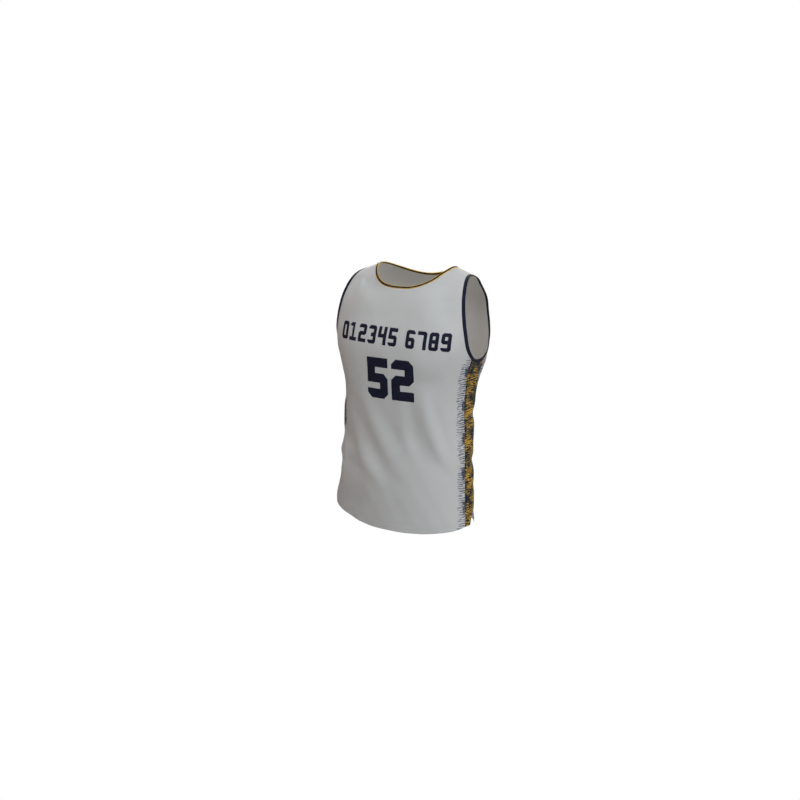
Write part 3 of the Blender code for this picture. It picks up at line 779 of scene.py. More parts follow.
KNIT_WALE = 0.00125       # width of one knit column
KNIT_COURSE = 0.00100     # height of one knit row
EYELET = 4.0              # eyelets of the mesh knit stand this many columns and rows apart
RIB_PITCH = 0.0011        # ribs of the bindings
KNIT_DEEP = 0.00016       # depth of the knit's relief
RIB_DEEP = 0.00014        # and of the ribs'
HEM_EDGE = 0.0008         # the hem's edge under the knit is twice this wide
STRIPE = 0.0026           # half the width of the neck binding's centre stripe

STROKE_PITCH = 0.0063     # brush strokes of the fringe and of the side print
PRINT_REPEAT = 0.0941     # the print comes again at this pitch up the cut
HEAP_AT = 0.111           # height on the cut of the fringe's heaps
FRINGE_LOW = 0.0230       # reach of the fringe beside the lower side seams
FRINGE_HIGH = 0.0265      # and beside the upper ones
FRINGE_RISE = (0.16, 0.42)              # heights on the cut between which it changes
FADED_BELOW = 0.17        # the fringe pales from this height on the cut down to the hem
FADED = 0.65              # to this share
STROKE_SWAY = (0.007, 0.40)             # how far its strokes wander at the seam, and more a metre
UNEVEN_REACH = (0.016, 0.030)           # how unevenly they reach: slowly, and one by one
STROKE_SHARES = (0.46, 1.10)            # even strokes and gaps that make up the brushed ones
HEAP_REACH = (0.018, 0.012)             # the heaps end between these distances from the seam
BOLD_AT = 0.0885          # height on the cut of the side print's boldest strokes
SIDE_SWAY = 0.019         # how far the side print's strokes wander
TONE_SHARES = (0.20, 0.66, 1.04)        # strokes, dots and patches that make up its tone
BOLD_SHARES = (0.08, 0.26)              # the bold stretches' own tone, and their strokes'
TONE_START = -0.185
SEAM_DIM = 0.09           # it is darker by this along its seams
DIM_ABOVE = (0.415, 0.470)              # and from these heights on the cut up
DIM = 0.07                # by this
BRUSH_STEPS = (           # tones between which each colour comes in
    (0.71, 0.78, OLIVE), (0.86, 0.95, GOLD), (1.00, 1.08, GOLD_LIGHT))


def eyelets(u, v):
    """1 at the staggered eyelets of the mesh knit, 0 between them."""
    turns = 2.0 * math.pi / EYELET
    return ((u * (turns / KNIT_WALE)).math("COSINE")
            * (v * (turns / KNIT_COURSE)).math("COSINE")).smooth(0.35, 0.95)


def knit_relief(u, v, eyelet):
    """Height of the mesh knit, about 0 to 1: columns of loops, sunk at the eyelets."""
    loops = u.ripple(KNIT_WALE) * 0.6 + v.ripple(KNIT_COURSE) * 0.4
    return loops * 0.6 + 0.4 - eyelet * 0.55


def hem_step(made):
    """1 on the turned-up hem, 0 above its edge."""
    return made.attribute("from_hem").smooth(HEM_DEPTH + HEM_EDGE, HEM_DEPTH - HEM_EDGE)


def knit_height(made, u, v, eyelet):
    """Height of the cloth for its bump: the knit, with the hem's step in it."""
    return knit_relief(u, v, eyelet) * 0.75 + hem_step(made) * 0.9


def fringe(made, u, v, from_side, colour):
    """Prints the brush fringe beside the side seams: level strokes, heaped up here and there."""
    sway = made.smears(from_side, 55.0, v, 70.0, 8.0) - 0.5
    level = v + sway * (from_side * STROKE_SWAY[1] + STROKE_SWAY[0])
    apart = (u - 0.27) * 9.0          # makes the fringes beside the four seams unlike each other
    slow = made.noise(made.vector(apart, v * 30.0, 3.7), 1.0)
    ends = made.noise(made.vector(apart, level * 160.0, 6.1), 1.0)
    reach = v.smooth(*FRINGE_RISE) * (FRINGE_HIGH - FRINGE_LOW) + FRINGE_LOW
    limit = (slow - 0.5) * UNEVEN_REACH[0] + (ends - 0.5) * UNEVEN_REACH[1] + reach
    gaps = made.noise(made.vector(from_side * 70.0, level * 130.0, u * 3.0), 1.0, 2.0, 0.6)
    brushed = level.ripple(STROKE_PITCH) * STROKE_SHARES[0] + gaps * STROKE_SHARES[1]
    stroke = brushed.smooth(0.775, 0.880) * (limit - from_side).smooth(-0.0010, 0.0030)
    blots = made.noise(made.vector(from_side * 150.0 + apart, level * 190.0, 12.0), 1.0)
    heap = (v - HEAP_AT).ripple(PRINT_REPEAT).smooth(0.55, 1.0) * (slow * 0.7 + 0.13)
    heap = (heap + 0.45) * from_side.smooth(0.026, 0.0) + (blots - 0.5) * 1.5
    heap = heap.smooth(0.56, 0.70) * from_side.smooth(*HEAP_REACH)
    fade = v.smooth(0.0, FADED_BELOW) * (1.0 - FADED) + FADED
    ink = made.mix(from_side.smooth(0.004, 0.018), NAVY_WORN, SLATE)
    colour = made.mix(stroke * fade * 0.96, colour, ink)
    return made.mix(heap * fade * 0.9, colour, INK)


def body_knit():
    made = Finish("body_mesh_knit", 0.82, 0.10)
    u, v = made.place()
    eyelet = eyelets(u, v)
    shade = made.noise(made.flat(), 9.0, 3.0)
    colour = made.mix(shade.smooth(0.35, 0.75) * 0.35, OFF_WHITE, SHADE_GREY)
    # painted shade: the eyelet holes are darkened, on top of their sunk bump
    colour = made.mix(eyelet * 0.16, colour, EYELET_PAINTED_SHADE)
    colour = fringe(made, u, v, made.attribute("from_side"), colour)
    # painted light: the inside faces take a lighter colour in place of light coming through the
    # cloth
    colour = made.mix(made.attribute("inside"), colour, INSIDE_PAINTED_LIGHT)
    fuzz = made.smears(u, 1400.0, v, 1400.0, detail=1.0)
    height = knit_height(made, u, v, eyelet) + fuzz * 0.10
    return made.finish(colour, height, KNIT_DEEP, strength=0.8)


def side_knit():
    made = Finish("side_brush_knit", 0.80, 0.10)
    u, v = made.place()
    sway = made.smears(u, 42.0, v, 60.0, 5.0) - 0.5
    level = v + sway * SIDE_SWAY
    strokes = level.ripple(STROKE_PITCH)
    parts = strokes, made.smears(u, 150.0, level, 215.0, 2.0), made.smears(u, 34.0, v, 50.0, 7.0)
    tone = sum(part * share for part, share in zip(parts, TONE_SHARES))
    bold = (v - BOLD_AT).ripple(PRINT_REPEAT)
    tone = tone + bold * BOLD_SHARES[0] + (strokes - 0.5) * bold * BOLD_SHARES[1] + TONE_START
    tone = tone - made.attribute("from_side").smooth(0.010, 0.0) * SEAM_DIM
    tone = tone - v.smooth(*DIM_ABOVE) * DIM
    colour = CHARCOAL
    for low, high, ink in BRUSH_STEPS:
        colour = made.mix(tone.smooth(low, high), colour, ink)
    # painted light: the inside faces take a lighter colour in place of light coming through the
    # cloth
    colour = made.mix(made.attribute("inside"), colour, INSIDE_PAINTED_LIGHT)
    return made.finish(colour, knit_height(made, u, v, eyelets(u, v)), KNIT_DEEP, strength=0.8)


def neck_rib():
    made = Finish("neck_rib_striped", 0.78, 0.10)
    u, v = made.place()
    wobble = made.smears(u, 220.0, v, 60.0)
    off = abs(v - NECK_BAND * 0.5) + (wobble - 0.5) * 0.0007
    tone = made.smears(u, 90.0, v, 300.0, 3.0)
    gold = made.mix(tone.smooth(0.25, 0.6), RIB_GOLD, RIB_GOLD_LIGHT)
    colour = made.mix(off.smooth(STRIPE + 0.0003, STRIPE - 0.0003), gold, NAVY_DEEP)
    return made.finish(colour, u.ripple(RIB_PITCH), RIB_DEEP, strength=0.7)


def arm_rib():
    made = Finish("armhole_rib_navy", 0.78, 0.10)
    u, v = made.place()
    tone = made.smears(u, 60.0, v, 240.0, detail=3.0)
    colour = made.mix(tone.smooth(0.35, 0.75), NAVY_DEEP, NAVY)
    return made.finish(colour, u.ripple(RIB_PITCH), RIB_DEEP, strength=0.7)


def print_film():
    made = Finish("printed_numeral_film", 0.62, 0.0)
    cut = made.flat()
    tone = made.noise(cut, 55.0, 3.0)
    grain = made.noise(cut, 1500.0, 1.0)
    colour = made.mix(tone.smooth(0.3, 0.75), NAVY_DEEP, NAVY)
    return made.finish(colour, grain, 0.00006, roughness=tone * 0.16 + 0.52, strength=0.5)


def thread(name, light, dark):
    made = Finish(name, 0.60, 0.15)
    at = made.node("ShaderNodeTexCoord", output=3)
    tone = made.noise(at, 900.0, 1.0)
    return made.finish(made.mix(tone, light, dark), tone, 0.00004, strength=0.5)


# ---- meshes -------------------------------------------------------------------------------
def new_mesh(name, vertices, faces, material, uv=None, attributes=None):
    """Adds a smooth-shaded mesh, with its places on the flat cut and numbers at its points."""
    mesh = bpy.data.meshes.new(name)
    mesh.from_pydata(vertices.tolist(), [], faces)
    mesh.update()
    mesh.polygons.foreach_set("use_smooth", np.ones(len(mesh.polygons), dtype=bool))
    if uv is not None:
        corners = np.zeros(len(mesh.loops), dtype=np.int32)
        mesh.loops.foreach_get("vertex_index", corners)
        layer = mesh.uv_layers.new(name="cut")
        layer.data.foreach_set("uv", uv[corners].astype(np.float32).ravel())
    for key, values in (attributes or {}).items():
        layer = mesh.attributes.new(key, "FLOAT", "POINT")
        layer.data.foreach_set("value", values.astype(np.float32))
    mesh.materials.append(material)
    obj = bpy.data.objects.new(name, mesh)
    bpy.context.scene.collection.objects.link(obj)
    return obj


def seam_distance(turn, z, seam_at):
    """Distance over the cloth from a side seam, or from its upper end above the armhole."""
    level = np.minimum(z, SIDE_TOP)
    gap = np.abs(around(turn, z) - around(side_seam(level, seam_at), level))
    up = np.maximum(z - SIDE_TOP, 0.0)
    return np.hypot(gap, up)


def closed_faces(rows, cols):
    """Faces of a closed shell: its outer grid of points, then its inner one, then the rim."""
    back = rows * cols
    at = np.arange(back).reshape(rows, cols)
    outer = np.stack([at[:-1, :-1], at[:-1, 1:], at[1:, 1:], at[1:, :-1]], axis=-1).reshape(-1, 4)
    border = np.r_[at[0], at[1:, -1], at[-1, -2::-1], at[-2:0:-1, 0]]
    after = np.roll(border, -1)
    rim = np.stack([after, border, back + border, back + after], axis=-1)
    return np.concatenate([outer, back + outer[:, ::-1], rim]).tolist()


def shell(name, turn, z, middle, from_side, material):
    """A thin closed shell of knit with its edges rolled into the seams, and its flat area."""
    rows, row_drop = edge_places(turn.shape[0])
    cols, col_drop = edge_places(turn.shape[1])
    turn = at_places(turn, rows, cols)
    z = at_places(z, rows, cols)
    roll = np.maximum(row_drop[:, None], col_drop[None, :])[..., None] * EDGE_ROLL
    outer, away = on_cloth(turn, z)
    inner = outer - away * (SHELL - EDGE_THIN * roll)
    outer = outer - away * roll
    vertices = np.concatenate([outer.reshape(-1, 3), inner.reshape(-1, 3)])
    flat = flat_place(turn, z, middle).reshape(-1, 2)
    side = from_side(turn, z).reshape(-1)
    hem = (z - hem_height(turn)).reshape(-1)
    marks = {"from_side": np.r_[side, side], "from_hem": np.r_[hem, hem],
             "inside": np.repeat((0.0, 1.0), turn.size)}
    faces = closed_faces(*turn.shape)
    obj = new_mesh(name, vertices, faces, material, np.r_[flat, flat], marks)
    quads = outer[:-1, :-1], outer[:-1, 1:], outer[1:, 1:], outer[1:, :-1]
    area = 0.5 * np.linalg.norm(np.cross(quads[2] - quads[0], quads[3] - quads[1]), axis=-1).sum()
    return obj, float(area)


# Section of a folded binding: share of its width from the seam, share of its thickness.
BAND_SECTION = (
    (0.00, 0.10), (0.02, 0.30), (0.08, 0.44), (0.20, 0.50), (0.40, 0.54), (0.60, 0.54),
    (0.80, 0.50), (0.92, 0.42), (0.98, 0.26), (1.00, 0.00), (0.98, -0.26), (0.92, -0.42),
    (0.80, -0.48), (0.50, -0.50), (0.20, -0.48), (0.02, -0.30), (0.00, -0.10))
PUCKER = 0.00022          # how far a binding ripples between its stitches
PUCKER_PITCH = 0.0085     # and at what pitch
PUCKER_FADE = 0.6         # share of the ripple that is lost at the binding's edges


def arm_flare():
    """How far the open edge of the armhole binding stands off at each station."""
    return ARM_FLARE * np.clip(np.sin(arm_stations(BAND_FINER)), 0.0, 1.0)


def binding(name, outline, width, material, flare=0.0, other_side=False, clockwise=False):
    """A folded rib binding round an opening, and its length."""
    rings = []
    flat = []
    base = form(*outline(width * 0.5, BAND_FINER))
    steps = np.linalg.norm(np.roll(base, -1, axis=0) - base, axis=1)
    length = float(steps.sum())
    run = np.r_[0.0, np.cumsum(steps)[:-1]]
    ripples = round(length / PUCKER_PITCH)
    phase = 2.0 * math.pi * run / length
    ripple = np.sin(ripples * phase) + 0.5 * np.sin(ripples // 3 * phase + 1.0)
    for share, height in BAND_SECTION:
        turn, z = outline((width - SEAM_CLOSE) * (1.0 - share), BAND_FINER)
        if other_side:
            turn = math.pi - turn
        face, away = on_cloth(turn, z)
        lift = height * BINDING_THICK - SHELL / 2.0 + share * flare
        lift = lift + PUCKER * ripple * (1.0 - PUCKER_FADE * abs(share - 0.5) * 2.0)
        rings.append(face + away * lift[:, None])
        flat.append(np.stack([run, np.full_like(run, share * width)], axis=-1))
    a = np.arange(len(rings) * len(run)).reshape(len(rings), len(run))
    b = np.roll(a, -1, axis=1)
    c = np.roll(b, -1, axis=0)
    d = np.roll(a, -1, axis=0)
    order = (a, b, c, d) if clockwise else (a, d, c, b)
    faces = np.stack(order, axis=-1).reshape(-1, 4).tolist()
    obj = new_mesh(name, np.concatenate(rings), faces, material, np.concatenate(flat))
    return obj, length


# ---- numerals -----------------------------------------------------------------------------
# Block numerals on a lattice of 3 columns and 5 rows, from the top; # is filled.
NUMERALS = {
    "0": ("###", "# #", "# #", "# #", "###"),
    "1": ("## ", " # ", " # ", " # ", "###"),
    "2": ("###", "  #", "###", "#  ", "###"),
    "3": ("###", "  #", " ##", "  #", "###"),
    "4": ("# #", "# #", "###", "  #", "  #"),
    "5": ("###", "#  ", "###", "  #", "###"),
    "6": ("###", "#  ", "###", "# #", "###"),
    "7": ("###", "  #", "  #", "  #", "  #"),
    "8": ("###", "# #", "###", "# #", "###"),
    "9": ("###", "# #", "###", "  #", "###"),
}
# Outer corners cut off: column and row of the lattice cell, and whether its upper corner is.
ALL_FOUR = ((0, 0, True), (2, 0, True), (0, 4, False), (2, 4, False))
CUT_CORNERS = {
    "0": ALL_FOUR,
    "1": ((0, 0, True),),
    "2": ((0, 0, True), (2, 0, True), (0, 2, True), (2, 2, False)),
    "3": ALL_FOUR,
    "4": (),
    "5": ((2, 2, True), (0, 4, False), (2, 4, False)),
    "6": ((0, 0, True), (2, 0, True), (2, 2, True), (0, 4, False), (2, 4, False)),
    "7": ((2, 0, True),),
    "8": ALL_FOUR,
    "9": ((0, 0, True), (2, 0, True), (0, 2, False), (0, 4, False), (2, 4, False)),
}
CORNER_CUT = 0.52         # size of a cut corner, as a share of the stroke
PRINT_SHIFT = 0.0105      # the prints sit a little to the wearer's left of centre front
PRINT_CELL = 0.0045       # the film is cut at this pitch, so that it follows the cloth
PRINT_CELL_SHIFT = 0.0003               # and the cuts stand this far clear of the corners
FILM_LIFT = 0.00022       # height of the film above the cloth
FILM_DEEP = 0.00025       # and how far it reaches into it
MERGE = 1e-6              # points closer than this are one


def cell_outline(x0, x1, y0, y1, cut, gone):
    """Corners of a cell, anticlockwise from the lower left; those in `gone` are cut off."""
    points = []
    for at, (x, y, right, up) in enumerate(((x0, y0, 1, 1), (x1, y0, -1, 1),
                                            (x1, y1, -1, -1), (x0, y1, 1, -1))):
        if at not in gone:
            points.append((x, y))
            continue
        ends = [(x, y + up * cut), (x + right * cut, y)]
        points += ends if at in (0, 2) else ends[::-1]
    return points


def numeral_faces(mesh, digit, left, top, width, height, stroke):
    """Adds one numeral's flat cells to a bmesh, in cut coordinates."""
    xs = (left, left + stroke, left + width - stroke, left + width)
    gap = (height - 3.0 * stroke) / 2.0
    ys = (top, top - stroke, top - stroke - gap, top - 2 * stroke - gap,
          top - 2 * stroke - 2 * gap, top - height)
    for row, cells in enumerate(NUMERALS[digit]):
        for col, cell in enumerate(cells):
            if cell != "#":
                continue
            gone = []
            if (col, row, True) in CUT_CORNERS[digit]:
                gone.append(3 if col == 0 else 2)
            if (col, row, False) in CUT_CORNERS[digit]:
                gone.append(0 if col == 0 else 1)
            corners = cell_outline(xs[col], xs[col + 1], ys[row + 1], ys[row],
                                   stroke * CORNER_CUT, gone)
            mesh.faces.new([mesh.verts.new((x, y, 0.0)) for x, y in corners])


def flat_film(text, middle, width, height, stroke, gap, space=0.0):
    """A bmesh of flat numerals in cut coordinates, in cells that can follow the cloth."""
    mesh = bmesh.new()
    spans = [space if mark == " " else width for mark in text]
    total = sum(spans) + gap * (len(text) - 1)
    left = -total / 2.0
    top = middle + height / 2.0
    for mark, span in zip(text, spans):
        if mark != " ":
            numeral_faces(mesh, mark, left, top, width, height, stroke)
        left += span + gap
    bmesh.ops.remove_doubles(mesh, verts=mesh.verts[:], dist=MERGE)
    for normal, low, span in ((Vector((1, 0, 0)), -total / 2.0, total),
                              (Vector((0, 1, 0)), top - height, height)):
        for k in range(1, int(span / PRINT_CELL) + 1):
            at = normal * (low + k * PRINT_CELL + PRINT_CELL_SHIFT)
            cells = mesh.verts[:] + mesh.edges[:] + mesh.faces[:]
            bmesh.ops.bisect_plane(mesh, geom=cells, dist=MERGE, plane_co=at, plane_no=normal)
    bmesh.ops.triangulate(mesh, faces=[f for f in mesh.faces if len(f.verts) > 4])
    mesh.verts.ensure_lookup_table()
    mesh.verts.index_update()
    return mesh


def numerals(name, text, material, tilt=0.0, **sizes):
    """Printed block numerals on the front, laid over the cloth from the flat cut."""
    mesh = flat_film(text, **sizes)
    across = np.array([v.co.x for v in mesh.verts])
    z = np.array([v.co.y for v in mesh.verts]) + tilt * across
    across = across + PRINT_SHIFT
    count = len(across)
    tops = [[v.index for v in f.verts] for f in mesh.faces]
    bottoms = [[count + i for i in reversed(f)] for f in tops]
    rims = []
    for edge in mesh.edges:
        if len(edge.link_faces) == 1:
            a, b = (v.index for v in edge.verts)
            order = [v.index for v in edge.link_faces[0].verts]
            if order[(order.index(a) + 1) % len(order)] != b:
                a, b = b, a
            rims.append([b, a, count + a, count + b])
    mesh.free()
    turn = turn_at(across, z)
    face, away = on_cloth(turn, z)
    upper = face + away * FILM_LIFT
    lower = face - away * FILM_DEEP
    uv = flat_place(turn, z, math.pi / 2.0)
    vertices = np.concatenate([upper, lower])
    obj = new_mesh(name, vertices, tops + bottoms + rims, material, np.r_[uv, uv])
    flags = [True] * (len(tops) + len(bottoms)) + [False] * len(rims)
    obj.data.polygons.foreach_set("use_smooth", flags)
    return obj


# ---- stitches -----------------------------------------------------------------------------
def stitch_tree():
    """Geometry Nodes: short threads set end to end along the edges of a line mesh."""
    tree = bpy.data.node_groups.new("stitches_along_line", "GeometryNodeTree")
    face = tree.interface
    face.new_socket("Line", in_out="INPUT", socket_type="NodeSocketGeometry")
    for name in ("Pitch", "Length", "Thickness"):
        face.new_socket(name, in_out="INPUT", socket_type="NodeSocketFloat")
    face.new_socket("Thread", in_out="INPUT", socket_type="NodeSocketMaterial")
    face.new_socket("Stitches", in_out="OUTPUT", socket_type="NodeSocketGeometry")
    nodes = tree.nodes
    given = nodes.new("NodeGroupInput")
    result = nodes.new("NodeGroupOutput")
    curve = nodes.new("GeometryNodeMeshToCurve")
    points = nodes.new("GeometryNodeCurveToPoints")
    points.mode = "LENGTH"
    ball = nodes.new("GeometryNodeMeshUVSphere")
    ball.inputs["Segments"].default_value = 6
    ball.inputs["Rings"].default_value = 4
    ball.inputs["Radius"].default_value = 0.5
    size = nodes.new("ShaderNodeCombineXYZ")
    place = nodes.new("GeometryNodeInstanceOnPoints")
    real = nodes.new("GeometryNodeRealizeInstances")
    paint = nodes.new("GeometryNodeSetMaterial")
    for start, output, end, socket in (
            (given, "Line", curve, "Mesh"), (curve, "Curve", points, "Curve"),
            (given, "Pitch", points, "Length"), (given, "Thickness", size, 0),
            (given, "Thickness", size, 1), (given, "Length", size, 2),
            (points, "Points", place, "Points"), (ball, "Mesh", place, "Instance"),
            (points, "Rotation", place, "Rotation"), (size, 0, place, "Scale"),
            (place, "Instances", real, "Geometry"), (real, "Geometry", paint, "Geometry"),
            (given, "Thread", paint, "Material"), (paint, "Geometry", result, "Stitches")):
        tree.links.new(start.outputs[output], end.inputs[socket])
    return tree


STITCHES = stitch_tree()
STITCH = {"Pitch": 0.0036, "Length": 0.0028, "Thickness": 0.00042}
NECK_STITCH = {"Pitch": 0.0034, "Length": 0.0026, "Thickness": 0.00040}
ON_KNIT = 0.00008         # height of a row of stitches on the knit
ON_ARM_BAND = 0.00075     # and on the bindings
ON_NECK_BAND = 0.00070
LINE_FINER = 6            # stations of a row round an opening, for each one of the solids


def stitches(name, lines, size, material):
    """One mesh of stitches along (turn, height, closed, lift) lines on the cloth."""
    vertices = []
    edges = []
    for turn, z, closed, lift in lines:
        face, away = on_cloth(turn, z)
        start = len(vertices)
        vertices.extend((face + away * lift).tolist())
        count = len(turn)
        edges.extend((start + i, start + i + 1) for i in range(count - 1))
        if closed:
            edges.append((start + count - 1, start))
    mesh = bpy.data.meshes.new(name + "_line")
    mesh.from_pydata(vertices, edges, [])
    line = bpy.data.objects.new(name + "_line", mesh)
    bpy.context.scene.collection.objects.link(line)
    modifier = line.modifiers.new("stitches", "NODES")
    modifier.node_group = STITCHES
    sockets = {item.name: item.identifier for item in STITCHES.interface.items_tree}
    for key, value in {**size, "Thread": material}.items():
        modifier[sockets[key]] = value
    evaluated = line.evaluated_get(bpy.context.evaluated_depsgraph_get())
    result = bpy.data.meshes.new_from_object(evaluated)
    result.name = name
    result.polygons.foreach_set("use_smooth", [True] * len(result.polygons))
    obj = bpy.data.objects.new(name, result)
    bpy.context.scene.collection.objects.link(obj)
    bpy.data.objects.remove(line, do_unlink=True)
    return obj


def hem_line(first, last, above, count=420):
    """Row of stitches `above` the hem between two turns."""
    turn = np.linspace(first, last, count)
    return turn, hem_height(turn) + above, False, ON_KNIT


def side_lines(offset, low, high, count=240):
    """Rows of stitches up both sides, along the side seams or a line beside them."""
    z = np.linspace(low, high, count)
    turn = side_seam(z, np.full(count, offset))
    return [(turn, z, False, ON_KNIT), (math.pi - turn, z, False, ON_KNIT)]


# ---- the jersey ---------------------------------------------------------------------------
NUMBER = {"middle": -0.3000, "width": 0.0690, "height": 0.114, "stroke": 0.0265, "gap": 0.012}
CHEST_ROW = {"middle": -0.1838, "tilt": -0.022, "width": 0.0272, "height": 0.0480,
             "stroke": 0.0098, "gap": 0.0068, "space": 0.0150}
HEM_ROWS = (0.0035, 0.0005)             # stitch rows below the edge of the turned-up hem
PANEL_ROW = 0.004         # row on the front and back, beside the side seam
INSERT_ROW = 0.003        # row on the side panel, beside its seam
ARM_ROWS = (0.0016, 0.0040)             # rows on the armhole bindings, from the seam
NECK_ROW = 0.0015         # row on the neck binding, from the seam
ROW_START = 0.002         # the rows up the sides start this far above the hem or the vent
ROW_END = 0.003           # and end this far below the seam's top


def beside_front(turn, z):
    """Distance from the nearer side seam on the front panel."""
    return np.minimum(seam_distance(turn, z, SIDE_FRONT),
                      seam_distance(math.pi - turn, z, SIDE_FRONT))


def beside_back(turn, z):
    """Distance from the nearer side seam on the back panel."""
    return np.minimum(seam_distance(turn, z, SIDE_BACK),
                      seam_distance(-math.pi - turn, z, SIDE_BACK))


def beside_insert(turn, z):
    """Distance from the nearer side seam on a side panel."""
    turn = np.where(turn > math.pi / 2.0, math.pi - turn, turn)
    ahead = around(side_seam(z, SIDE_FRONT), z) - around(turn, z)
    behind = around(turn, z) - around(side_seam(z, SIDE_BACK), z)
    return np.minimum(np.abs(ahead), np.abs(behind))


def white_lines(hem_z):
    """Rows of the hem, and of the front and back along the side seams."""
    ends = [side_seam(HEM_LOW + HEM_RISE, offset) for offset in (SIDE_FRONT, SIDE_BACK)]
    lines = []
    for below in HEM_ROWS:
        lines.append(hem_line(ends[0], math.pi - ends[0], HEM_DEPTH - below))
        lines.append(hem_line(ends[1], -math.pi - ends[1], HEM_DEPTH - below))
    for offset in (SIDE_FRONT - PANEL_ROW, SIDE_BACK + PANEL_ROW):
        lines += side_lines(offset, hem_z + ROW_START, SIDE_TOP - ROW_END)
    return lines


def navy_lines(hem_z):
    """Rows of the armhole bindings, and of the side panels along their seams."""
    lines = []
    for distance in ARM_ROWS:
        turn, z = arm_outline(ARM_BAND - distance, LINE_FINER)
        lines += [(turn, z, True, ON_ARM_BAND), (math.pi - turn, z, True, ON_ARM_BAND)]
    for offset, low in ((SIDE_FRONT + INSERT_ROW, hem_z),
                        (SIDE_BACK - INSERT_ROW, hem_z + VENT_HEIGHT)):
        lines += side_lines(offset, low + ROW_START, SIDE_TOP - ROW_END)
    return lines


def build_jersey():
    body = body_knit()
    side = side_knit()
    neck = neck_rib()
    arm = arm_rib()
    film = print_film()
    front, front_area = shell("front_shell", *panel_grid(True), math.pi / 2.0, beside_front, body)
    back, back_area = shell("back_shell", *panel_grid(False), -math.pi / 2.0, beside_back, body)
    turn, z = side_grid()
    left, left_area = shell("side_shell_left", turn, z, 0.0, beside_insert, side)
    right, right_area = shell("side_shell_right", (math.pi - turn)[:, ::-1], z[:, ::-1],
                              math.pi, beside_insert, side)
    neck_ring, neck_length = binding("neck_rib", neck_outline, NECK_BAND, neck)
    flare = arm_flare()
    arm_left, arm_length = binding("armhole_rib_left", arm_outline, ARM_BAND, arm, flare,
                                   clockwise=True)
    arm_right, _same = binding("armhole_rib_right", arm_outline, ARM_BAND, arm, flare,
                               other_side=True)
    number = numerals("front_number", "52", film, **NUMBER)
    row = numerals("chest_numerals", "012345 6789", film, **CHEST_ROW)

    white = thread("white_thread", (0.62, 0.62, 0.62), (0.50, 0.50, 0.51))
    navy = thread("navy_thread", (0.020, 0.024, 0.045), (0.010, 0.012, 0.024))
    gold = thread("gold_thread", (0.42, 0.27, 0.08), (0.30, 0.18, 0.04))
    hem_z = float(hem_height(side_seam(HEM_LOW, SIDE_FRONT)))
    neck_line = (*neck_outline(NECK_BAND - NECK_ROW, LINE_FINER), True, ON_NECK_BAND)
    seam_white = stitches("white_stitches", white_lines(hem_z), STITCH, white)
    seam_navy = stitches("navy_stitches", navy_lines(hem_z), STITCH, navy)
    seam_gold = stitches("gold_stitches", [neck_line], NECK_STITCH, gold)

    trims = {front: "body_knit", back: "body_knit", left: "side_knit", right: "side_knit",
             neck_ring: "neck_band", arm_left: "armhole_band", arm_right: "armhole_band",
             number: "armhole_band", row: "armhole_band", seam_white: "body_knit",
             seam_navy: "armhole_band", seam_gold: "neck_band"}
    for piece, slot in trims.items():
        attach(piece, "root")
    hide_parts("front_panel")
    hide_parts("back_panel")
    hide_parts("side_panel_left")
    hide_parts("side_panel_right")
    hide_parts("neck_binding")
    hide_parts("armhole_binding_left")
    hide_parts("armhole_binding_right")


# ---- stage, light and camera --------------------------------------------------------------
STAGE_SIZE = 14.0         # half the floor's width
FLOOR_Z = -1.45


def by_ray(tree, output, to_light, to_camera):
    """Shows one shader to the light and another to the camera."""
    mix = tree.nodes.new("ShaderNodeMixShader")
    path = tree.nodes.new("ShaderNodeLightPath")
    tree.links.new(path.outputs["Is Camera Ray"], mix.inputs[0])
    tree.links.new(to_light.outputs[0], mix.inputs[1])
    tree.links.new(to_camera.outputs[0], mix.inputs[2])
    tree.links.new(mix.outputs[0], output.inputs[0])


def shining(tree, kind, colour, strength):
    """An emission or background node."""
    made = tree.nodes.new(kind)
    made.inputs["Color"].default_value = (*colour, 1.0)
    made.inputs["Strength"].default_value = strength
    return made


def pale_floor():
    """Stage finish: plain white to the camera, a pale matt surface to the light."""
    material = bpy.data.materials.new("pale_floor")
    material.use_nodes = True
    tree = material.node_tree
    tree.nodes.clear()
    matt = tree.nodes.new("ShaderNodeBsdfDiffuse")
    matt.inputs["Color"].default_value = (0.50, 0.50, 0.50, 1.0)
    white = shining(tree, "ShaderNodeEmission", (1.0, 1.0, 1.0), 1.0)
    by_ray(tree, tree.nodes.new("ShaderNodeOutputMaterial"), matt, white)
    return material


def build_stage():
    corners = [(x * STAGE_SIZE, y * STAGE_SIZE, FLOOR_Z)
               for x, y in ((-1, -1), (1, -1), (1, 1), (-1, 1))]
    new_mesh("studio_floor", np.array(corners), [(0, 1, 2, 3)], pale_floor())
    world = bpy.data.worlds.new("studio")
    world.use_nodes = True
    bpy.context.scene.world = world
    tree = world.node_tree
    tree.nodes.clear()
    soft = shining(tree, "ShaderNodeBackground", (1.0, 0.975, 0.94), 0.005)
    white = shining(tree, "ShaderNodeBackground", (1.0, 1.0, 1.0), 1.0)
    by_ray(tree, tree.nodes.new("ShaderNodeOutputWorld"), soft, white)


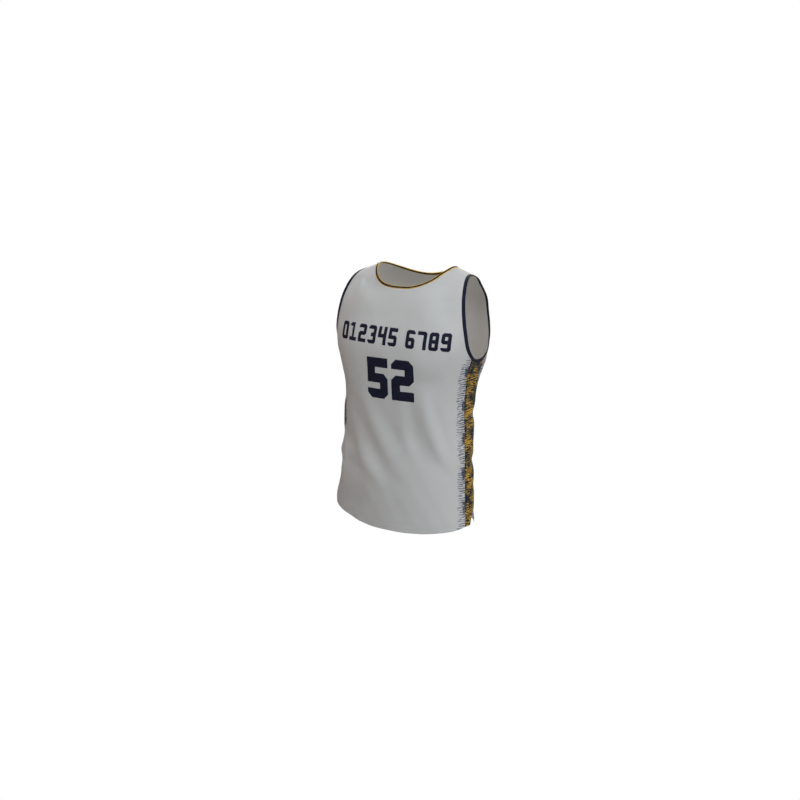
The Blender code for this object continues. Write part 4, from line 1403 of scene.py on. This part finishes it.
LAMPS = (
    # name, turn (0 at the front, positive to the wearer's left), height angle, distance, size,
    # watts, colour
    ("key_side", 70.0, 15.0, 3.2, 2.0, 18.2, (0.92, 0.97, 1.0)),
    ("key_low", 75.0, -8.0, 3.2, 2.0, 19.5, (0.94, 0.97, 1.0)),
    ("key_side_high", 70.0, 50.0, 3.2, 2.0, 4.5, (0.45, 0.78, 1.0)),
    ("key_top", 0.0, 65.0, 3.2, 2.0, 43.6, (0.98, 0.99, 1.0)),
    ("fill_high", 33.0, 50.0, 3.2, 2.0, 13.7, (0.95, 0.99, 1.0)),
    ("rim_side", 105.0, 15.0, 3.2, 2.0, 6.6, (1.0, 0.73, 0.44)),
    ("fill_left", -40.0, 15.0, 3.2, 2.0, 5.7, (1.0, 0.89, 0.75)),
    ("rim_left", -80.0, 20.0, 3.2, 2.0, 5.0, (1.0, 0.36, 0.10)),
    ("rim_back", 150.0, 30.0, 3.2, 2.0, 8.0, (1.0, 0.62, 0.30)),
    ("back", -150.0, 30.0, 3.2, 2.0, 76.0, (1.0, 0.93, 0.85)),
    ("bounce", 30.0, -45.0, 1.3, 0.9, 1.2, (0.96, 0.97, 1.0)),
)


def aim(name, data, target, turn, height, distance):
    """Adds a lamp or camera that looks at its target from a turn and height (degrees)."""
    thing = bpy.data.objects.new(name, data)
    bpy.context.scene.collection.objects.link(thing)
    a = math.radians(turn)
    e = math.radians(height)
    out = Vector((math.sin(a) * math.cos(e), -math.cos(a) * math.cos(e), math.sin(e)))
    thing.location = target + distance * out
    thing.rotation_euler = out.to_track_quat("Z", "Y").to_euler()
    return thing


def build_lights():
    middle = Vector((0.0, -0.03, -0.37))
    for name, turn, height, distance, size, watts, colour in LAMPS:
        data = bpy.data.lights.new(name, "AREA")
        data.shape = "DISK"
        data.size = size
        data.energy = watts
        data.color = colour
        aim(name, data, middle, turn, height, distance)


def build_camera():
    data = bpy.data.cameras.new("camera")
    data.lens = 49.95
    data.sensor_width = 36.0
    target = Vector((-0.0371, -0.0310, -0.3863))
    camera = aim("camera", data, target, turn=33.5, height=12.7, distance=3.1635)
    bpy.context.scene.camera = camera


build_camera()
build_jersey()
build_stage()
build_lights()
bpy.context.scene.view_settings.view_transform = "Standard"
